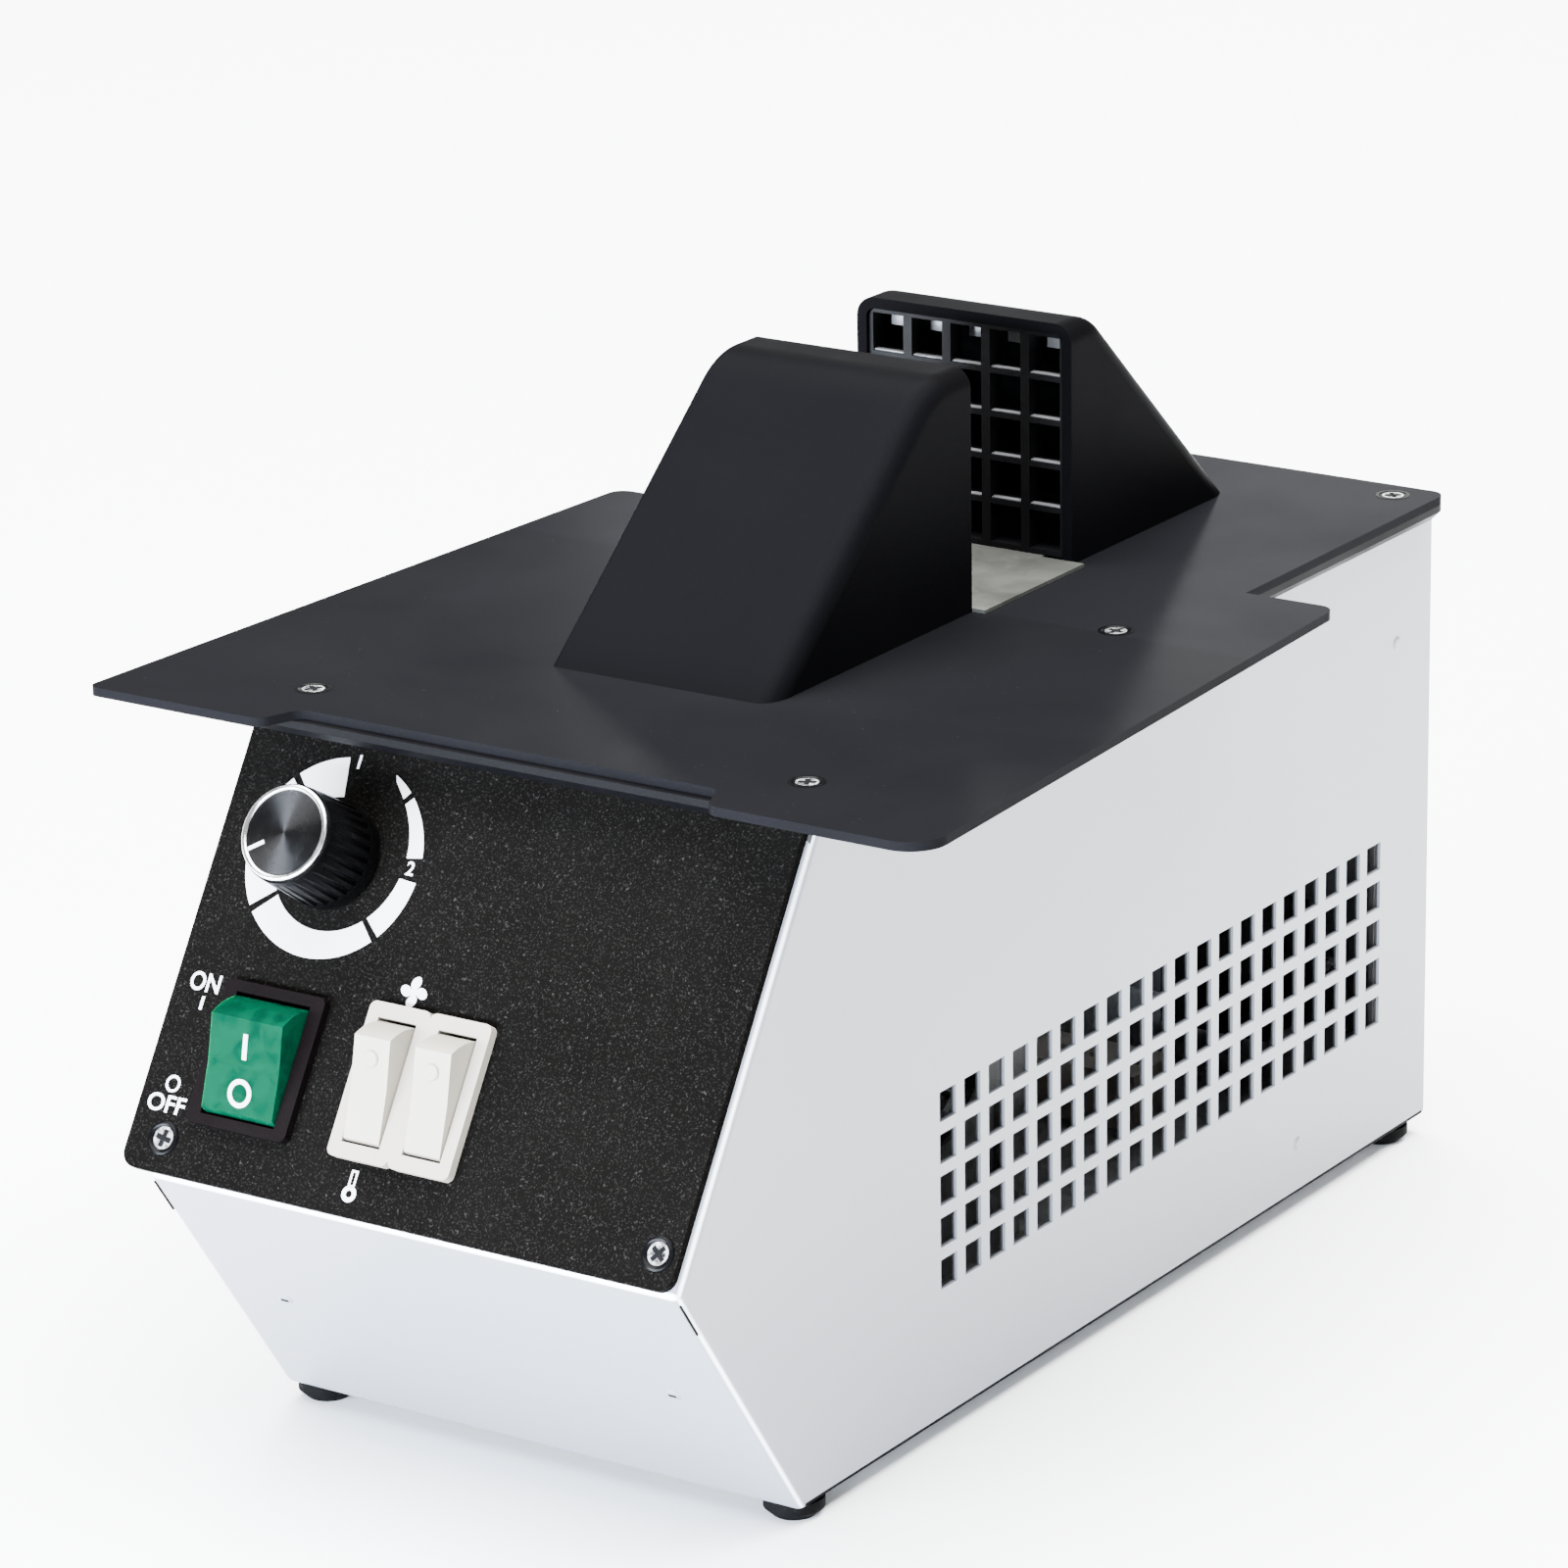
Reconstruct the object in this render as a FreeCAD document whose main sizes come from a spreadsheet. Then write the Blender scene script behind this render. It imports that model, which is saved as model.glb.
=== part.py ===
import FreeCAD, Part
import os
import re

import Sketcher
from FreeCAD import Placement, Rotation, Vector

# Driving dimensions of the frame warmer, in millimetres and degrees.
# y runs back from the front bend line of the casing, z runs up from the floor.
SIZES = {
    # clearances and tool allowances
    "fit_gap": 0.1,
    "cut_margin": 2.0,
    "running_gap": 0.05,
    "loose_gap": 0.35,
    # rubber feet
    "foot_height": 4.0,
    "foot_radius": 6.5,
    "foot_toe_radius": 4.6,
    "foot_side_height": 1.8,
    "foot_inset_side": 6.7,
    "foot_inset_front": 6.5,
    "foot_inset_rear": 9.0,
    "foot_screw_radius": 1.5,
    "foot_screw_length": 8.0,
    "foot_screw_head_radius": 2.8,
    "foot_screw_head_height": 1.8,
    "foot_recess_depth": 2.6,
    # casing
    "case_width": 133.0,
    "case_depth": 310.0,
    "case_height": 147.3,
    "case_wall": 1.2,
    "bend_height": 62.0,
    "front_lean": 32.0,
    "undercut": 43.7,
    "fold_radius": 2.0,
    "top_flange": 14.0,
    "bend_radius": 1.6,
    "window_left_inset": 6.0,
    "window_right_inset": 12.5,
    "window_low": 11.5,
    "window_margin": 15.6,
    # vent holes in the casing sides
    "vent_start": 100.3,
    "vent_rear_inset": 25.8,
    "vent_columns": 20,
    "vent_length": 6.4,
    "vent_top": 71.0,
    "vent_rise": 9.36,
    "vent_rows": 5,
    "vent_height": 6.6,
    # base tray and back panel
    "tray_wall": 1.2,
    "tray_front": 38.0,
    "tray_lip": 18.0,
    "back_flange": 22.0,
    # flush rivets
    "rivet_radius": 1.2,
    "rivet_head_radius": 1.8,
    "rivet_head_height": 0.4,
    "rivet_tail": 1.5,
    "rivet_crown_radius": 1.1,
    "low_rivet_inset": 60.4,
    "low_rivet_rise": 12.8,
    "high_rivet_inset": 16.1,
    "high_rivet_rise": 120.0,
    "front_rivet_inset": 17.4,
    "front_rivet_drop": 39.4,
    # back screws
    "back_screw_inset": 14.5,
    "back_screw_rise": 10.0,
    "back_screw_radius": 1.5,
    "back_screw_head_radius": 2.8,
    "back_screw_head_height": 1.6,
    "back_screw_length": 7.0,
    "head_crown_share": 0.7,
    "head_edge_share": 0.4,
    # rim frame
    "rim_overhang": 5.0,
    "rim_front_overhang": 12.3,
    "rim_rear_inset": 2.0,
    "rim_thickness": 3.6,
    "rim_chamfer": 2.0,
    "rim_bar_side": 22.0,
    "rim_bar_front": 25.0,
    "rim_bar_rear": 14.0,
    "rim_corner_radius": 4.0,
    # working plate
    "plate_thickness": 2.0,
    "plate_front_overhang": 19.8,
    "wing_overhang": 37.3,
    "wing_rear_overhang": 27.3,
    "wing_rear_inset": 94.4,
    "notch_centre": -3.0,
    "notch_inset": 14.5,
    "notch_depth": 9.8,
    "notch_flare": 3.6,
    "notch_radius": 3.5,
    "plate_front_radius": 8.0,
    "plate_left_radius": 2.5,
    "wing_radius": 4.0,
    "plate_screw_inset": 4.9,
    "plate_screw_front_inset": 2.9,
    "plate_screw_middle_inset": 133.0,
    "plate_screw_rear_inset": 9.7,
    "plate_screw_radius": 1.6,
    "plate_screw_head_radius": 3.0,
    "plate_screw_length": 10.0,
    "screw_slot_share": 1.3,
    "screw_slot_width": 0.9,
    "screw_slot_depth": 1.0,
    # hoods
    "hood_width": 55.6,
    "hood_height": 54.2,
    "hood_wall": 2.5,
    "hood_edge_radius": 4.5,
    "hood_crisp_radius": 1.2,
    "hood_gap": 41.7,
    "front_hood_length": 78.8,
    "front_hood_flat": 14.8,
    "front_crown_radius": 20.0,
    "rear_hood_length": 69.5,
    "rear_hood_flat": 11.0,
    "rear_crown_radius": 12.0,
    "rear_hood_inset": 25.5,
    # grilles in the hood mouths
    "grille_depth": 5.0,
    "grille_recess": 1.0,
    "grille_bar": 2.2,
    "grille_border": 1.0,
    "grille_ledge": 1.2,
    "grille_columns": 5,
    "grille_rows": 5,
    "grille_corner_radius": 2.2,
    # strip between the hoods
    "floor_half": 31.0,
    "floor_thickness": 0.8,
    "floor_tongue_half": 20.0,
    "floor_tongue": 5.0,
    # air openings in the plate and the duct below
    "air_half": 21.0,
    "front_air_lead": 17.5,
    "front_air_tail": 7.3,
    "rear_air_lead": 7.0,
    "rear_air_tail": 22.5,
    "duct_wall": 1.0,
    "duct_half": 25.0,
    "duct_front_lap": 4.0,
    "duct_rear_lap": 6.0,
    "duct_height": 38.0,
    "duct_flange": 8.0,
    # blower scroll
    "blower_setback": 11.3,
    "blower_rise": 56.0,
    "scroll_offset": 3.0,
    "scroll_radius": 42.0,
    "scroll_wall": 1.2,
    "scroll_near": -18.0,
    "scroll_far": 24.0,
    "outlet_length": 36.0,
    "inlet_ring_radius": 25.0,
    "shaft_hole_radius": 5.0,
    # impeller
    "impeller_radius": 30.0,
    "impeller_near": -12.0,
    "impeller_far": 19.5,
    "impeller_disc": 1.2,
    "impeller_ring": 1.5,
    "blade_inner_radius": 23.5,
    "blade_outer_radius": 29.5,
    "blade_thickness": 1.0,
    "blade_count": 24,
    "hub_radius": 6.0,
    "hub_length": 14.0,
    # motor
    "shaft_radius": 2.0,
    "shaft_start": -54.0,
    "shaft_end": 1.5,
    "stator_near": -46.0,
    "stator_far": -28.0,
    "stator_half": 28.0,
    "stator_top": 20.0,
    "stator_bottom": 36.0,
    "stator_bore_radius": 12.7,
    "air_gap": 0.5,
    "window_half": 18.0,
    "window_top": 17.0,
    "yoke_height": 7.0,
    "coil_half": 17.0,
    "coil_build": 5.0,
    "bracket_thickness": 2.0,
    "bracket_half_height": 8.0,
    "bearing_radius": 6.0,
    "bearing_length": 4.5,
    "motor_bolt_y": 23.0,
    "motor_bolt_radius": 1.5,
    "motor_bolt_head_radius": 2.8,
    "motor_bolt_head_height": 1.8,
    "spacer_radius": 3.2,
    # stand below the blower
    "stand_wall": 1.5,
    "stand_length": 60.0,
    "stand_height": 34.0,
    "stand_slot_rise": 14.3,
    # heater
    "board_thickness": 1.0,
    "board_low": 4.0,
    "board_height": 26.0,
    "heater_lead": 3.3,
    "heater_tail": 6.0,
    "coil_radius": 0.9,
    "coil_spacing": 6.0,
    "coil_runs": 7,
    "coil_low": 11.0,
    "coil_level": 11.0,
    # thermal cut-out
    "cutout_setback": 32.0,
    "cutout_rise": 20.0,
    "cutout_radius": 8.0,
    "cutout_height": 7.0,
    "cutout_flange_half": 12.0,
    "cutout_flange_height": 6.0,
    "cutout_flange_thickness": 1.0,
    # control board
    "pcb_half": 34.0,
    "pcb_setback": 22.3,
    "pcb_length": 48.0,
    "pcb_thickness": 1.6,
    "pcb_hole_inset": 5.0,
    "standoff_height": 8.0,
    "standoff_radius": 3.0,
    "sink_x": -16.0,
    "sink_half": 14.0,
    "sink_depth": 12.0,
    "sink_height": 24.0,
    "sink_base": 3.0,
    "sink_fins": 6,
    "sink_fin": 1.6,
    "sink_offset": 6.0,
    "capacitor_x": 14.0,
    "capacitor_half": 9.0,
    "capacitor_depth": 9.0,
    "capacitor_height": 16.0,
    "capacitor_offset": 12.0,
    # terminal block
    "terminal_x": -24.0,
    "terminal_way": 10.0,
    "terminal_count": 4,
    "terminal_inset": 48.0,
    "terminal_depth": 18.0,
    "terminal_height": 14.0,
    "terminal_hole_radius": 2.2,
    "terminal_hole_depth": 9.0,
    # mains inlet with fuse drawer
    "inlet_x": 22.0,
    "inlet_rise": 34.0,
    "inlet_flange": 2.5,
    "inlet_flange_half": 25.0,
    "inlet_flange_height": 33.0,
    "inlet_body_half": 14.0,
    "inlet_body_height": 29.0,
    "inlet_body_depth": 22.0,
    "inlet_socket_half": 12.2,
    "inlet_socket_height": 16.0,
    "inlet_socket_offset": 4.6,
    "inlet_socket_depth": 16.0,
    "inlet_screw_x": 20.0,
    "inlet_pin_half": 1.0,
    "inlet_pin_height": 4.0,
    "inlet_pin_spacing": 7.0,
    "inlet_pin_offset": 2.0,
    "inlet_pin_length": 12.0,
    "drawer_half": 10.0,
    "drawer_height": 6.4,
    "drawer_offset": 11.0,
    "drawer_depth": 18.0,
    "grip_half": 4.0,
    "grip_height": 2.0,
    "grip_depth": 1.2,
    # control panel, measured up the slope from the bend line
    "panel_thickness": 2.0,
    "panel_overhang": 5.9,
    "panel_margin": 1.5,
    "panel_foot": 0.5,
    "panel_head": 2.2,
    "panel_corner_radius": 3.5,
    "panel_screw_left_inset": 2.9,
    "panel_screw_right_inset": 6.4,
    "panel_screw_height": 7.8,
    "panel_screw_radius": 1.5,
    "panel_screw_head_radius": 2.7,
    "panel_screw_length": 8.0,
    # rocker switches
    "bezel_height": 2.2,
    "bezel_corner_radius": 1.6,
    "switch_depth": 17.0,
    "switch_shoulder": 1.4,
    "cavity_depth": 11.0,
    "rocker_tilt": 18.0,
    "rocker_sag": 0.6,
    "rocker_tail": 15.0,
    "rocker_root_half": 3.0,
    "rocker_root_depth": 4.2,
    "trunnion_radius": 1.5,
    "trunnion_length": 0.9,
    "blade_tab_half": 2.4,
    "blade_tab_thickness": 0.8,
    "blade_tab_length": 8.0,
    "blade_tab_spacing": 7.0,
    "power_inset": 21.0,
    "power_s": 27.6,
    "power_bezel_half": 12.75,
    "power_bezel_length": 31.0,
    "power_rocker_half": 9.1,
    "power_rocker_radius": 12.8,
    "power_rocker_span": 50.2,
    "power_pivot_depth": 4.0,
    "slim_inset": 52.2,
    "slim_s": 28.5,
    "slim_bezel_half": 7.6,
    "slim_bezel_length": 33.0,
    "slim_rocker_half": 4.45,
    "slim_rocker_radius": 12.9,
    "slim_rocker_span": 56.0,
    "slim_pivot_depth": 3.4,
    # knob and potentiometer
    "dial_inset": 23.7,
    "dial_drop": 28.2,
    "knob_gap": 0.8,
    "knob_radius": 11.4,
    "knob_top_radius": 10.6,
    "knob_height": 17.8,
    "knob_skirt": 3.0,
    "knob_recess_radius": 8.0,
    "knob_recess_depth": 4.8,
    "knob_bore_depth": 14.5,
    "flute_count": 28,
    "flute_radius": 0.8,
    "cap_radius": 10.2,
    "cap_height": 1.2,
    "cap_dish": 0.3,
    "control_shaft_radius": 3.0,
    "control_shaft_flat": 0.5,
    "control_shaft_seat": 6.0,
    "control_shaft_play": 0.5,
    "bushing_radius": 3.5,
    "bushing_height": 5.2,
    "pot_radius": 12.0,
    "pot_depth": 9.0,
    "nut_half": 5.0,
    "nut_height": 2.2,
}

# Places and sizes that follow from the driving dimensions.
DERIVED = {
    "case_bottom": "foot_height",
    "case_top": "case_bottom + case_height",
    "bend_z": "case_bottom + bend_height",
    "under_run": "undercut / bend_height",
    "under_slant": "sqrt(undercut * undercut + bend_height * bend_height) / bend_height",
    "under_lean": "atan(under_run) / 1 deg",
    "slope_run": "tan(front_lean)",
    "slope_slant": "1 / cos(front_lean)",
    "slope_top_y": "(case_height - bend_height) * slope_run",
    "slope_length": "(case_height - bend_height) * slope_slant",
    "panel_reach": "panel_thickness * cos(front_lean) - panel_foot * sin(front_lean)",
    "y_bend": "(panel_reach - case_depth - inlet_flange) / 2",
    "slope_turn": "90 - front_lean",
    "case_half": "case_width / 2",
    "window_low_z": "bend_z + window_low * cos(front_lean)",
    "vent_pitch": "(case_depth - vent_rear_inset - vent_start) / (vent_columns - 1)",
    "low_rivet_y": "case_depth - low_rivet_inset",
    "high_rivet_y": "case_depth - high_rivet_inset",
    "front_rivet_x": "case_half - front_rivet_inset",
    "back_screw_x": "case_half - back_screw_inset",
    "inner_half": "case_width / 2 - case_wall",
    "inner_bend_drop": "case_wall * (under_slant - slope_slant) / (slope_run + under_run)",
    "tray_half": "inner_half - fit_gap",
    "tray_toe": "undercut + case_wall * under_slant + fit_gap * under_slant",
    "tray_heel": "case_depth - case_wall - fit_gap",
    "tray_top": "case_bottom + tray_wall",
    "foot_x": "case_width / 2 - foot_inset_side",
    "foot_front": "undercut + foot_inset_front",
    "foot_rear": "case_depth - foot_inset_rear",
    "back_top": "case_top - case_wall - fit_gap",
    "rim_top": "case_top + rim_thickness",
    "rim_half": "case_half + rim_overhang",
    "rim_front": "slope_top_y - rim_front_overhang",
    "rim_rear": "case_depth - rim_rear_inset",
    "plate_front": "slope_top_y - plate_front_overhang",
    "plate_front_half": "case_half + wing_overhang",
    "wing_rear": "case_depth - wing_rear_inset",
    "wing_rear_half": "case_half + wing_rear_overhang",
    "notch_half": "case_half - notch_inset",
    "plate_screw_x": "case_half - plate_screw_inset",
    "plate_screw_front": "slope_top_y + plate_screw_front_inset",
    "plate_screw_middle": "case_depth - plate_screw_middle_inset",
    "plate_screw_rear": "case_depth - plate_screw_rear_inset",
    "plate_top": "rim_top + plate_thickness",
    "hood_top": "plate_top + hood_height",
    "rear_heel": "case_depth - rear_hood_inset",
    "rear_mouth": "rear_heel - rear_hood_length",
    "rear_crest": "rear_mouth + rear_hood_flat",
    "front_mouth": "rear_mouth - hood_gap",
    "front_toe": "front_mouth - front_hood_length",
    "front_crest": "front_mouth - front_hood_flat",
    "front_air_near": "front_toe + front_air_lead",
    "front_air_far": "front_mouth - front_air_tail",
    "rear_air_near": "rear_mouth + rear_air_lead",
    "rear_air_far": "rear_heel - rear_air_tail",
    "duct_front": "front_air_near - duct_front_lap",
    "duct_rear": "rear_air_far + duct_rear_lap",
    "blower_y": "front_mouth - blower_setback",
    "heater_start": "front_mouth - heater_lead",
    "heater_end": "rear_mouth - heater_tail",
    "cutout_y": "duct_front + cutout_setback",
    "terminal_y": "case_depth - terminal_inset",
    "pcb_front": "undercut + pcb_setback",
    "grille_half": "hood_width / 2 - hood_wall - fit_gap",
    "grille_bottom": "plate_top + floor_thickness + fit_gap",
    "grille_top": "hood_top - hood_wall - fit_gap",
    "grille_step": "(2 * (grille_half - grille_border) + grille_bar) / grille_columns",
    "grille_rise": "(grille_top - grille_border - grille_bottom) / grille_rows",
    "duct_bottom": "rim_top - duct_height",
    "blower_z": "case_bottom + blower_rise",
    "scroll_y": "scroll_offset",
    "scroll_z": "-scroll_offset",
    "scroll_inner": "scroll_radius - scroll_wall",
    "outlet_near": "scroll_y + scroll_radius - outlet_length",
    "outlet_far": "scroll_y + scroll_radius",
    "outlet_top": "duct_bottom - blower_z",
    "outlet_reach": "outlet_near - scroll_y",
    "outlet_drop": "sqrt(scroll_radius * scroll_radius - outlet_reach * outlet_reach)",
    "throat_near": "outlet_near + scroll_wall",
    "throat_far": "outlet_far - scroll_wall",
    "throat_reach": "throat_near - scroll_y",
    "throat_drop": "sqrt(scroll_inner * scroll_inner - throat_reach * throat_reach)",
    "rotor_radius": "stator_bore_radius - air_gap",
    "coil_top": "window_top + fit_gap",
    "coil_bottom": "stator_bottom + coil_build",
    "pcb_bottom": "tray_top + standoff_height",
    "pcb_top": "pcb_bottom + pcb_thickness",
    "panel_face": "panel_thickness",
    "panel_top_s": "slope_length - panel_head",
    "panel_left": "case_half + panel_overhang",
    "panel_right": "case_half - panel_margin",
    "panel_screw_left": "case_half - panel_screw_left_inset",
    "panel_screw_right": "case_half - panel_screw_right_inset",
    "dial_x": "dial_inset - case_half",
    "dial_s": "slope_length - dial_drop",
    "dial_y": "y_bend + dial_s * sin(front_lean)",
    "dial_z": "bend_z + dial_s * cos(front_lean)",
    "window_high_z": "bend_z + (dial_s + window_margin) * cos(front_lean)",
    "bezel_face": "panel_face + bezel_height",
    "power_x": "power_inset - case_half",
    "fan_x": "slim_inset - case_half",
    "heat_x": "fan_x + 2 * slim_bezel_half",
    "power_pivot_n": "bezel_face - power_pivot_depth",
    "slim_pivot_n": "bezel_face - slim_pivot_depth",
    "power_pivot_y": "y_bend + power_s * sin(front_lean) - power_pivot_n * cos(front_lean)",
    "power_pivot_z": "bend_z + power_s * cos(front_lean) + power_pivot_n * sin(front_lean)",
    "slim_pivot_y": "y_bend + slim_s * sin(front_lean) - slim_pivot_n * cos(front_lean)",
    "slim_pivot_z": "bend_z + slim_s * cos(front_lean) + slim_pivot_n * sin(front_lean)",
    "knob_foot": "panel_face + knob_gap",
    "knob_crown": "knob_foot + knob_height",
    "bushing_top": "panel_face + bushing_height",
}

SYMMETRIC = "Symmetric"
ONE_SIDE = "One side"
TOLERANCE = 1e-6
SHEET_NAME = "Dims"
WORD = re.compile(r"[A-Za-z_][A-Za-z_0-9]*")

CASE = ("0", "y_bend", "0")
SLOPE = ("0", "y_bend", "bend_z")
BLOWER = ("0", "y_bend + blower_y", "blower_z")
FRONT_HOOD = ("front_toe", "front_crest", "front_mouth")
REAR_HOOD = ("rear_heel", "rear_crest", "rear_mouth")

DOC = FreeCAD.newDocument("frame_warmer")
SHEET = DOC.addObject("Spreadsheet::Sheet", SHEET_NAME)
PIECES = []


def fill_sheet():
    """Write every driving and derived size into its own named cell."""
    rows = [(name, str(size)) for name, size in SIZES.items()]
    rows += [(name, f"={formula}") for name, formula in DERIVED.items()]
    for row, (name, text) in enumerate(rows, start=1):
        SHEET.set(f"A{row}", name)
        SHEET.set(f"B{row}", text)
        SHEET.setAlias(f"B{row}", name)
    DOC.recompute()


def expr(text):
    """Turn a formula of size names into an expression on the sheet."""

    def prefix(match):
        word = match.group()
        known = word in SIZES or word in DERIVED
        return f"{SHEET_NAME}.{word}" if known else word

    return WORD.sub(prefix, text)


def value(text):
    """Return the present number of a formula of size names."""
    return float(SHEET.evalExpression(text))


def point(*formulas):
    """Return a vector whose coordinates are formulas of size names."""
    return Vector(*[value(formula) for formula in formulas])


class Piece:
    """A PartDesign body whose sketches and features are bound to the sheet."""

    def __init__(self, label, base=CASE, turn=None, kept=True):
        self.label = label
        self.body = DOC.addObject("PartDesign::Body", label)
        self.body.Label = label
        self.last = None
        self.serial = 0
        angle = value(turn) if turn else 0
        self.body.Placement = Placement(point(*base), Rotation(Vector(1, 0, 0), angle))
        for axis, formula in zip("xyz", base):
            self.body.setExpression(f"Placement.Base.{axis}", expr(formula))
        if turn:
            self.body.setExpression("Placement.Rotation.Angle", expr(turn))
        if kept:
            PIECES.append(self.body)

    def add(self, kind):
        """Add a feature of this kind to the body."""
        self.serial += 1
        return self.body.newObject(kind, f"{self.label}_{self.serial}")

    def origin(self, role):
        """Return the body's own origin plane or axis of this role."""
        return [item for item in self.body.Origin.OriginFeatures if item.Role == role][0]

    def sketch(self, plane, offset="0"):
        """Start an empty sketch parallel to an origin plane."""
        sketch = self.add("Sketcher::SketchObject")
        sketch.AttachmentSupport = [(self.origin(plane), "")]
        sketch.MapMode = "FlatFace"
        sketch.setExpression("AttachmentOffset.Base.z", expr(offset))
        return sketch

    def outline(self, plane, loops, offset="0"):
        """Draw closed loops of lines: each loop is a list of corner formulas."""
        sketch = self.sketch(plane, offset)
        for corners in loops:
            draw_loop(sketch, corners, {})
        return sketch

    def curved(self, plane, corners, arcs, offset="0"):
        """Draw one loop, some of whose sides are arcs of a named radius."""
        sketch = self.sketch(plane, offset)
        draw_loop(sketch, corners, arcs)
        return sketch

    def circles(self, plane, centres, radius, offset="0"):
        """Draw circles of one radius around several centres."""
        sketch = self.sketch(plane, offset)
        for across, up in centres:
            draw_circle(sketch, across, up, radius)
        return sketch

    def pad(self, sketch, length, sides=ONE_SIDE, reverse=False):
        """Add material along the sketch's normal."""
        return self.sweep("PartDesign::Pad", sketch, length, sides, reverse, grows=True)

    def pocket(self, sketch, length, sides=ONE_SIDE, reverse=False):
        """Cut material against the sketch's normal."""
        return self.sweep("PartDesign::Pocket", sketch, length, sides, reverse, grows=False)

    def sweep(self, kind, sketch, length, sides, reverse, grows):
        """Add a pad or pocket and check that it changes the volume."""
        feature = self.add(kind)
        feature.Profile = sketch
        feature.SideType = sides
        feature.Reversed = reverse
        feature.setExpression("Length", expr(length))
        return self.settle(feature, grows)

    def turn(self, sketch, axis, cut=False):
        """Revolve a sketch a full turn about one of the body's axes."""
        feature = self.add("PartDesign::Groove" if cut else "PartDesign::Revolution")
        feature.Profile = sketch
        feature.ReferenceAxis = (self.origin(axis), [""])
        return self.settle(feature, grows=not cut)

    def drill(self, spot, turn, radius, length):
        """Cut a round hole whose axis is turned about X from the vertical."""
        tool = self.add("PartDesign::SubtractiveCylinder")
        tool.Placement = Placement(point(*spot), Rotation(Vector(1, 0, 0), value(turn)))
        for axis, formula in zip("xyz", spot):
            tool.setExpression(f"Placement.Base.{axis}", expr(formula))
        tool.setExpression("Placement.Rotation.Angle", expr(turn))
        tool.setExpression("Radius", expr(radius))
        tool.setExpression("Height", expr(length))
        return self.settle(tool, grows=False)

    def repeat(self, feature, sketch, axis, pitch, count):
        """Repeat a feature in a row along a sketch axis."""
        pattern = self.add("PartDesign::LinearPattern")
        pattern.Originals = [feature]
        pattern.Direction = (sketch, [axis])
        pattern.setExpression("Length", expr(f"({pitch}) * ({count} - 1)"))
        pattern.setExpression("Occurrences", expr(count))
        self.body.Tip = pattern
        return self.settle(pattern, feature.TypeId == "PartDesign::Pad")

    def ring(self, feature, axis, count):
        """Repeat a feature around one of the body's axes."""
        pattern = self.add("PartDesign::PolarPattern")
        pattern.Originals = [feature]
        pattern.Axis = (self.origin(axis), [""])
        pattern.setExpression("Occurrences", expr(count))
        self.body.Tip = pattern
        return self.settle(pattern, feature.TypeId == "PartDesign::Pad")

    def dress(self, kind, size, names, field):
        """Add a fillet, chamfer or thickness on named edges or faces."""
        base = self.last
        feature = self.add(kind)
        feature.Base = (base, names)
        feature.setExpression(field, expr(size))
        self.settle(feature, grows=None)
        return feature

    def fillet(self, radius, test):
        """Round every edge that passes the test."""
        names = pick(self.last.Shape.Edges, "Edge", test)
        return self.dress("PartDesign::Fillet", radius, names, "Radius")

    def chamfer(self, size, test):
        """Chamfer every edge that passes the test."""
        names = pick(self.last.Shape.Edges, "Edge", test)
        return self.dress("PartDesign::Chamfer", size, names, "Size")

    def settle(self, feature, grows):
        """Recompute, and stop if the feature failed or changed nothing."""
        before = self.last.Shape.Volume if self.last else 0
        DOC.recompute()
        if "Invalid" in feature.State or "Error" in feature.State:
            raise RuntimeError(f"{feature.Name} failed")
        change = feature.Shape.Volume - before
        wrong = abs(change) < TOLERANCE if grows is None else (change > 0) != grows
        if wrong:
            raise RuntimeError(f"{feature.Name} changed the volume by {change:.3f}")
        self.last = feature
        return feature


def bind(sketch, rows):
    """Add constraints to a sketch and bind the named ones to the sheet."""
    first = sketch.ConstraintCount
    sketch.addConstraint([constraint for constraint, formula in rows])
    for index, (_, formula) in enumerate(rows, start=first):
        if formula is not None:
            sketch.renameConstraint(index, f"size{index}")
            sketch.setExpression(f"Constraints.size{index}", expr(formula))


def pin(geometry, end, across, up):
    """Return the two rows that place one sketch point from the origin."""
    axes = (("DistanceX", across), ("DistanceY", up))
    return [
        (Sketcher.Constraint(kind, -1, 1, geometry, end, value(formula)), formula)
        for kind, formula in axes
    ]


def draw_loop(sketch, corners, arcs):
    """Draw a closed loop; arcs maps a side's number to its centre and radius."""
    spots = [point(across, up, "0") for across, up in corners]
    first = sketch.GeometryCount
    sides = []
    for side, start in enumerate(spots):
        end = spots[(side + 1) % len(spots)]
        if side in arcs:
            sides.append(arc_between(start, end, *arcs[side]))
        else:
            sides.append(Part.LineSegment(start, end))
    sketch.addGeometry(sides)
    rows = []
    for side, (across, up) in enumerate(corners):
        following = first + (side + 1) % len(corners)
        rows.append((Sketcher.Constraint("Coincident", first + side, 2, following, 1), None))
        rows += pin(first + side, 1, across, up)
        if side in arcs:
            radius = arcs[side][2]
            rows.append((Sketcher.Constraint("Radius", first + side, value(radius)), radius))
    bind(sketch, rows)


def arc_between(start, end, across, up, radius):
    """Return the anticlockwise arc from start to end around a centre."""
    centre = point(across, up, "0")
    circle = Part.Circle(centre, Vector(0, 0, 1), value(radius))
    return Part.ArcOfCircle(circle, circle.parameter(start), circle.parameter(end))


def draw_circle(sketch, across, up, radius):
    """Draw one circle placed and sized by formulas."""
    circle = Part.Circle(point(across, up, "0"), Vector(0, 0, 1), value(radius))
    index = sketch.addGeometry(circle)
    rows = pin(index, 3, across, up)
    rows.append((Sketcher.Constraint("Radius", index, value(radius)), radius))
    bind(sketch, rows)


def box(left, right, low, high):
    """Return the four corners of an upright rectangle."""
    return [(left, low), (right, low), (right, high), (left, high)]


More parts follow.
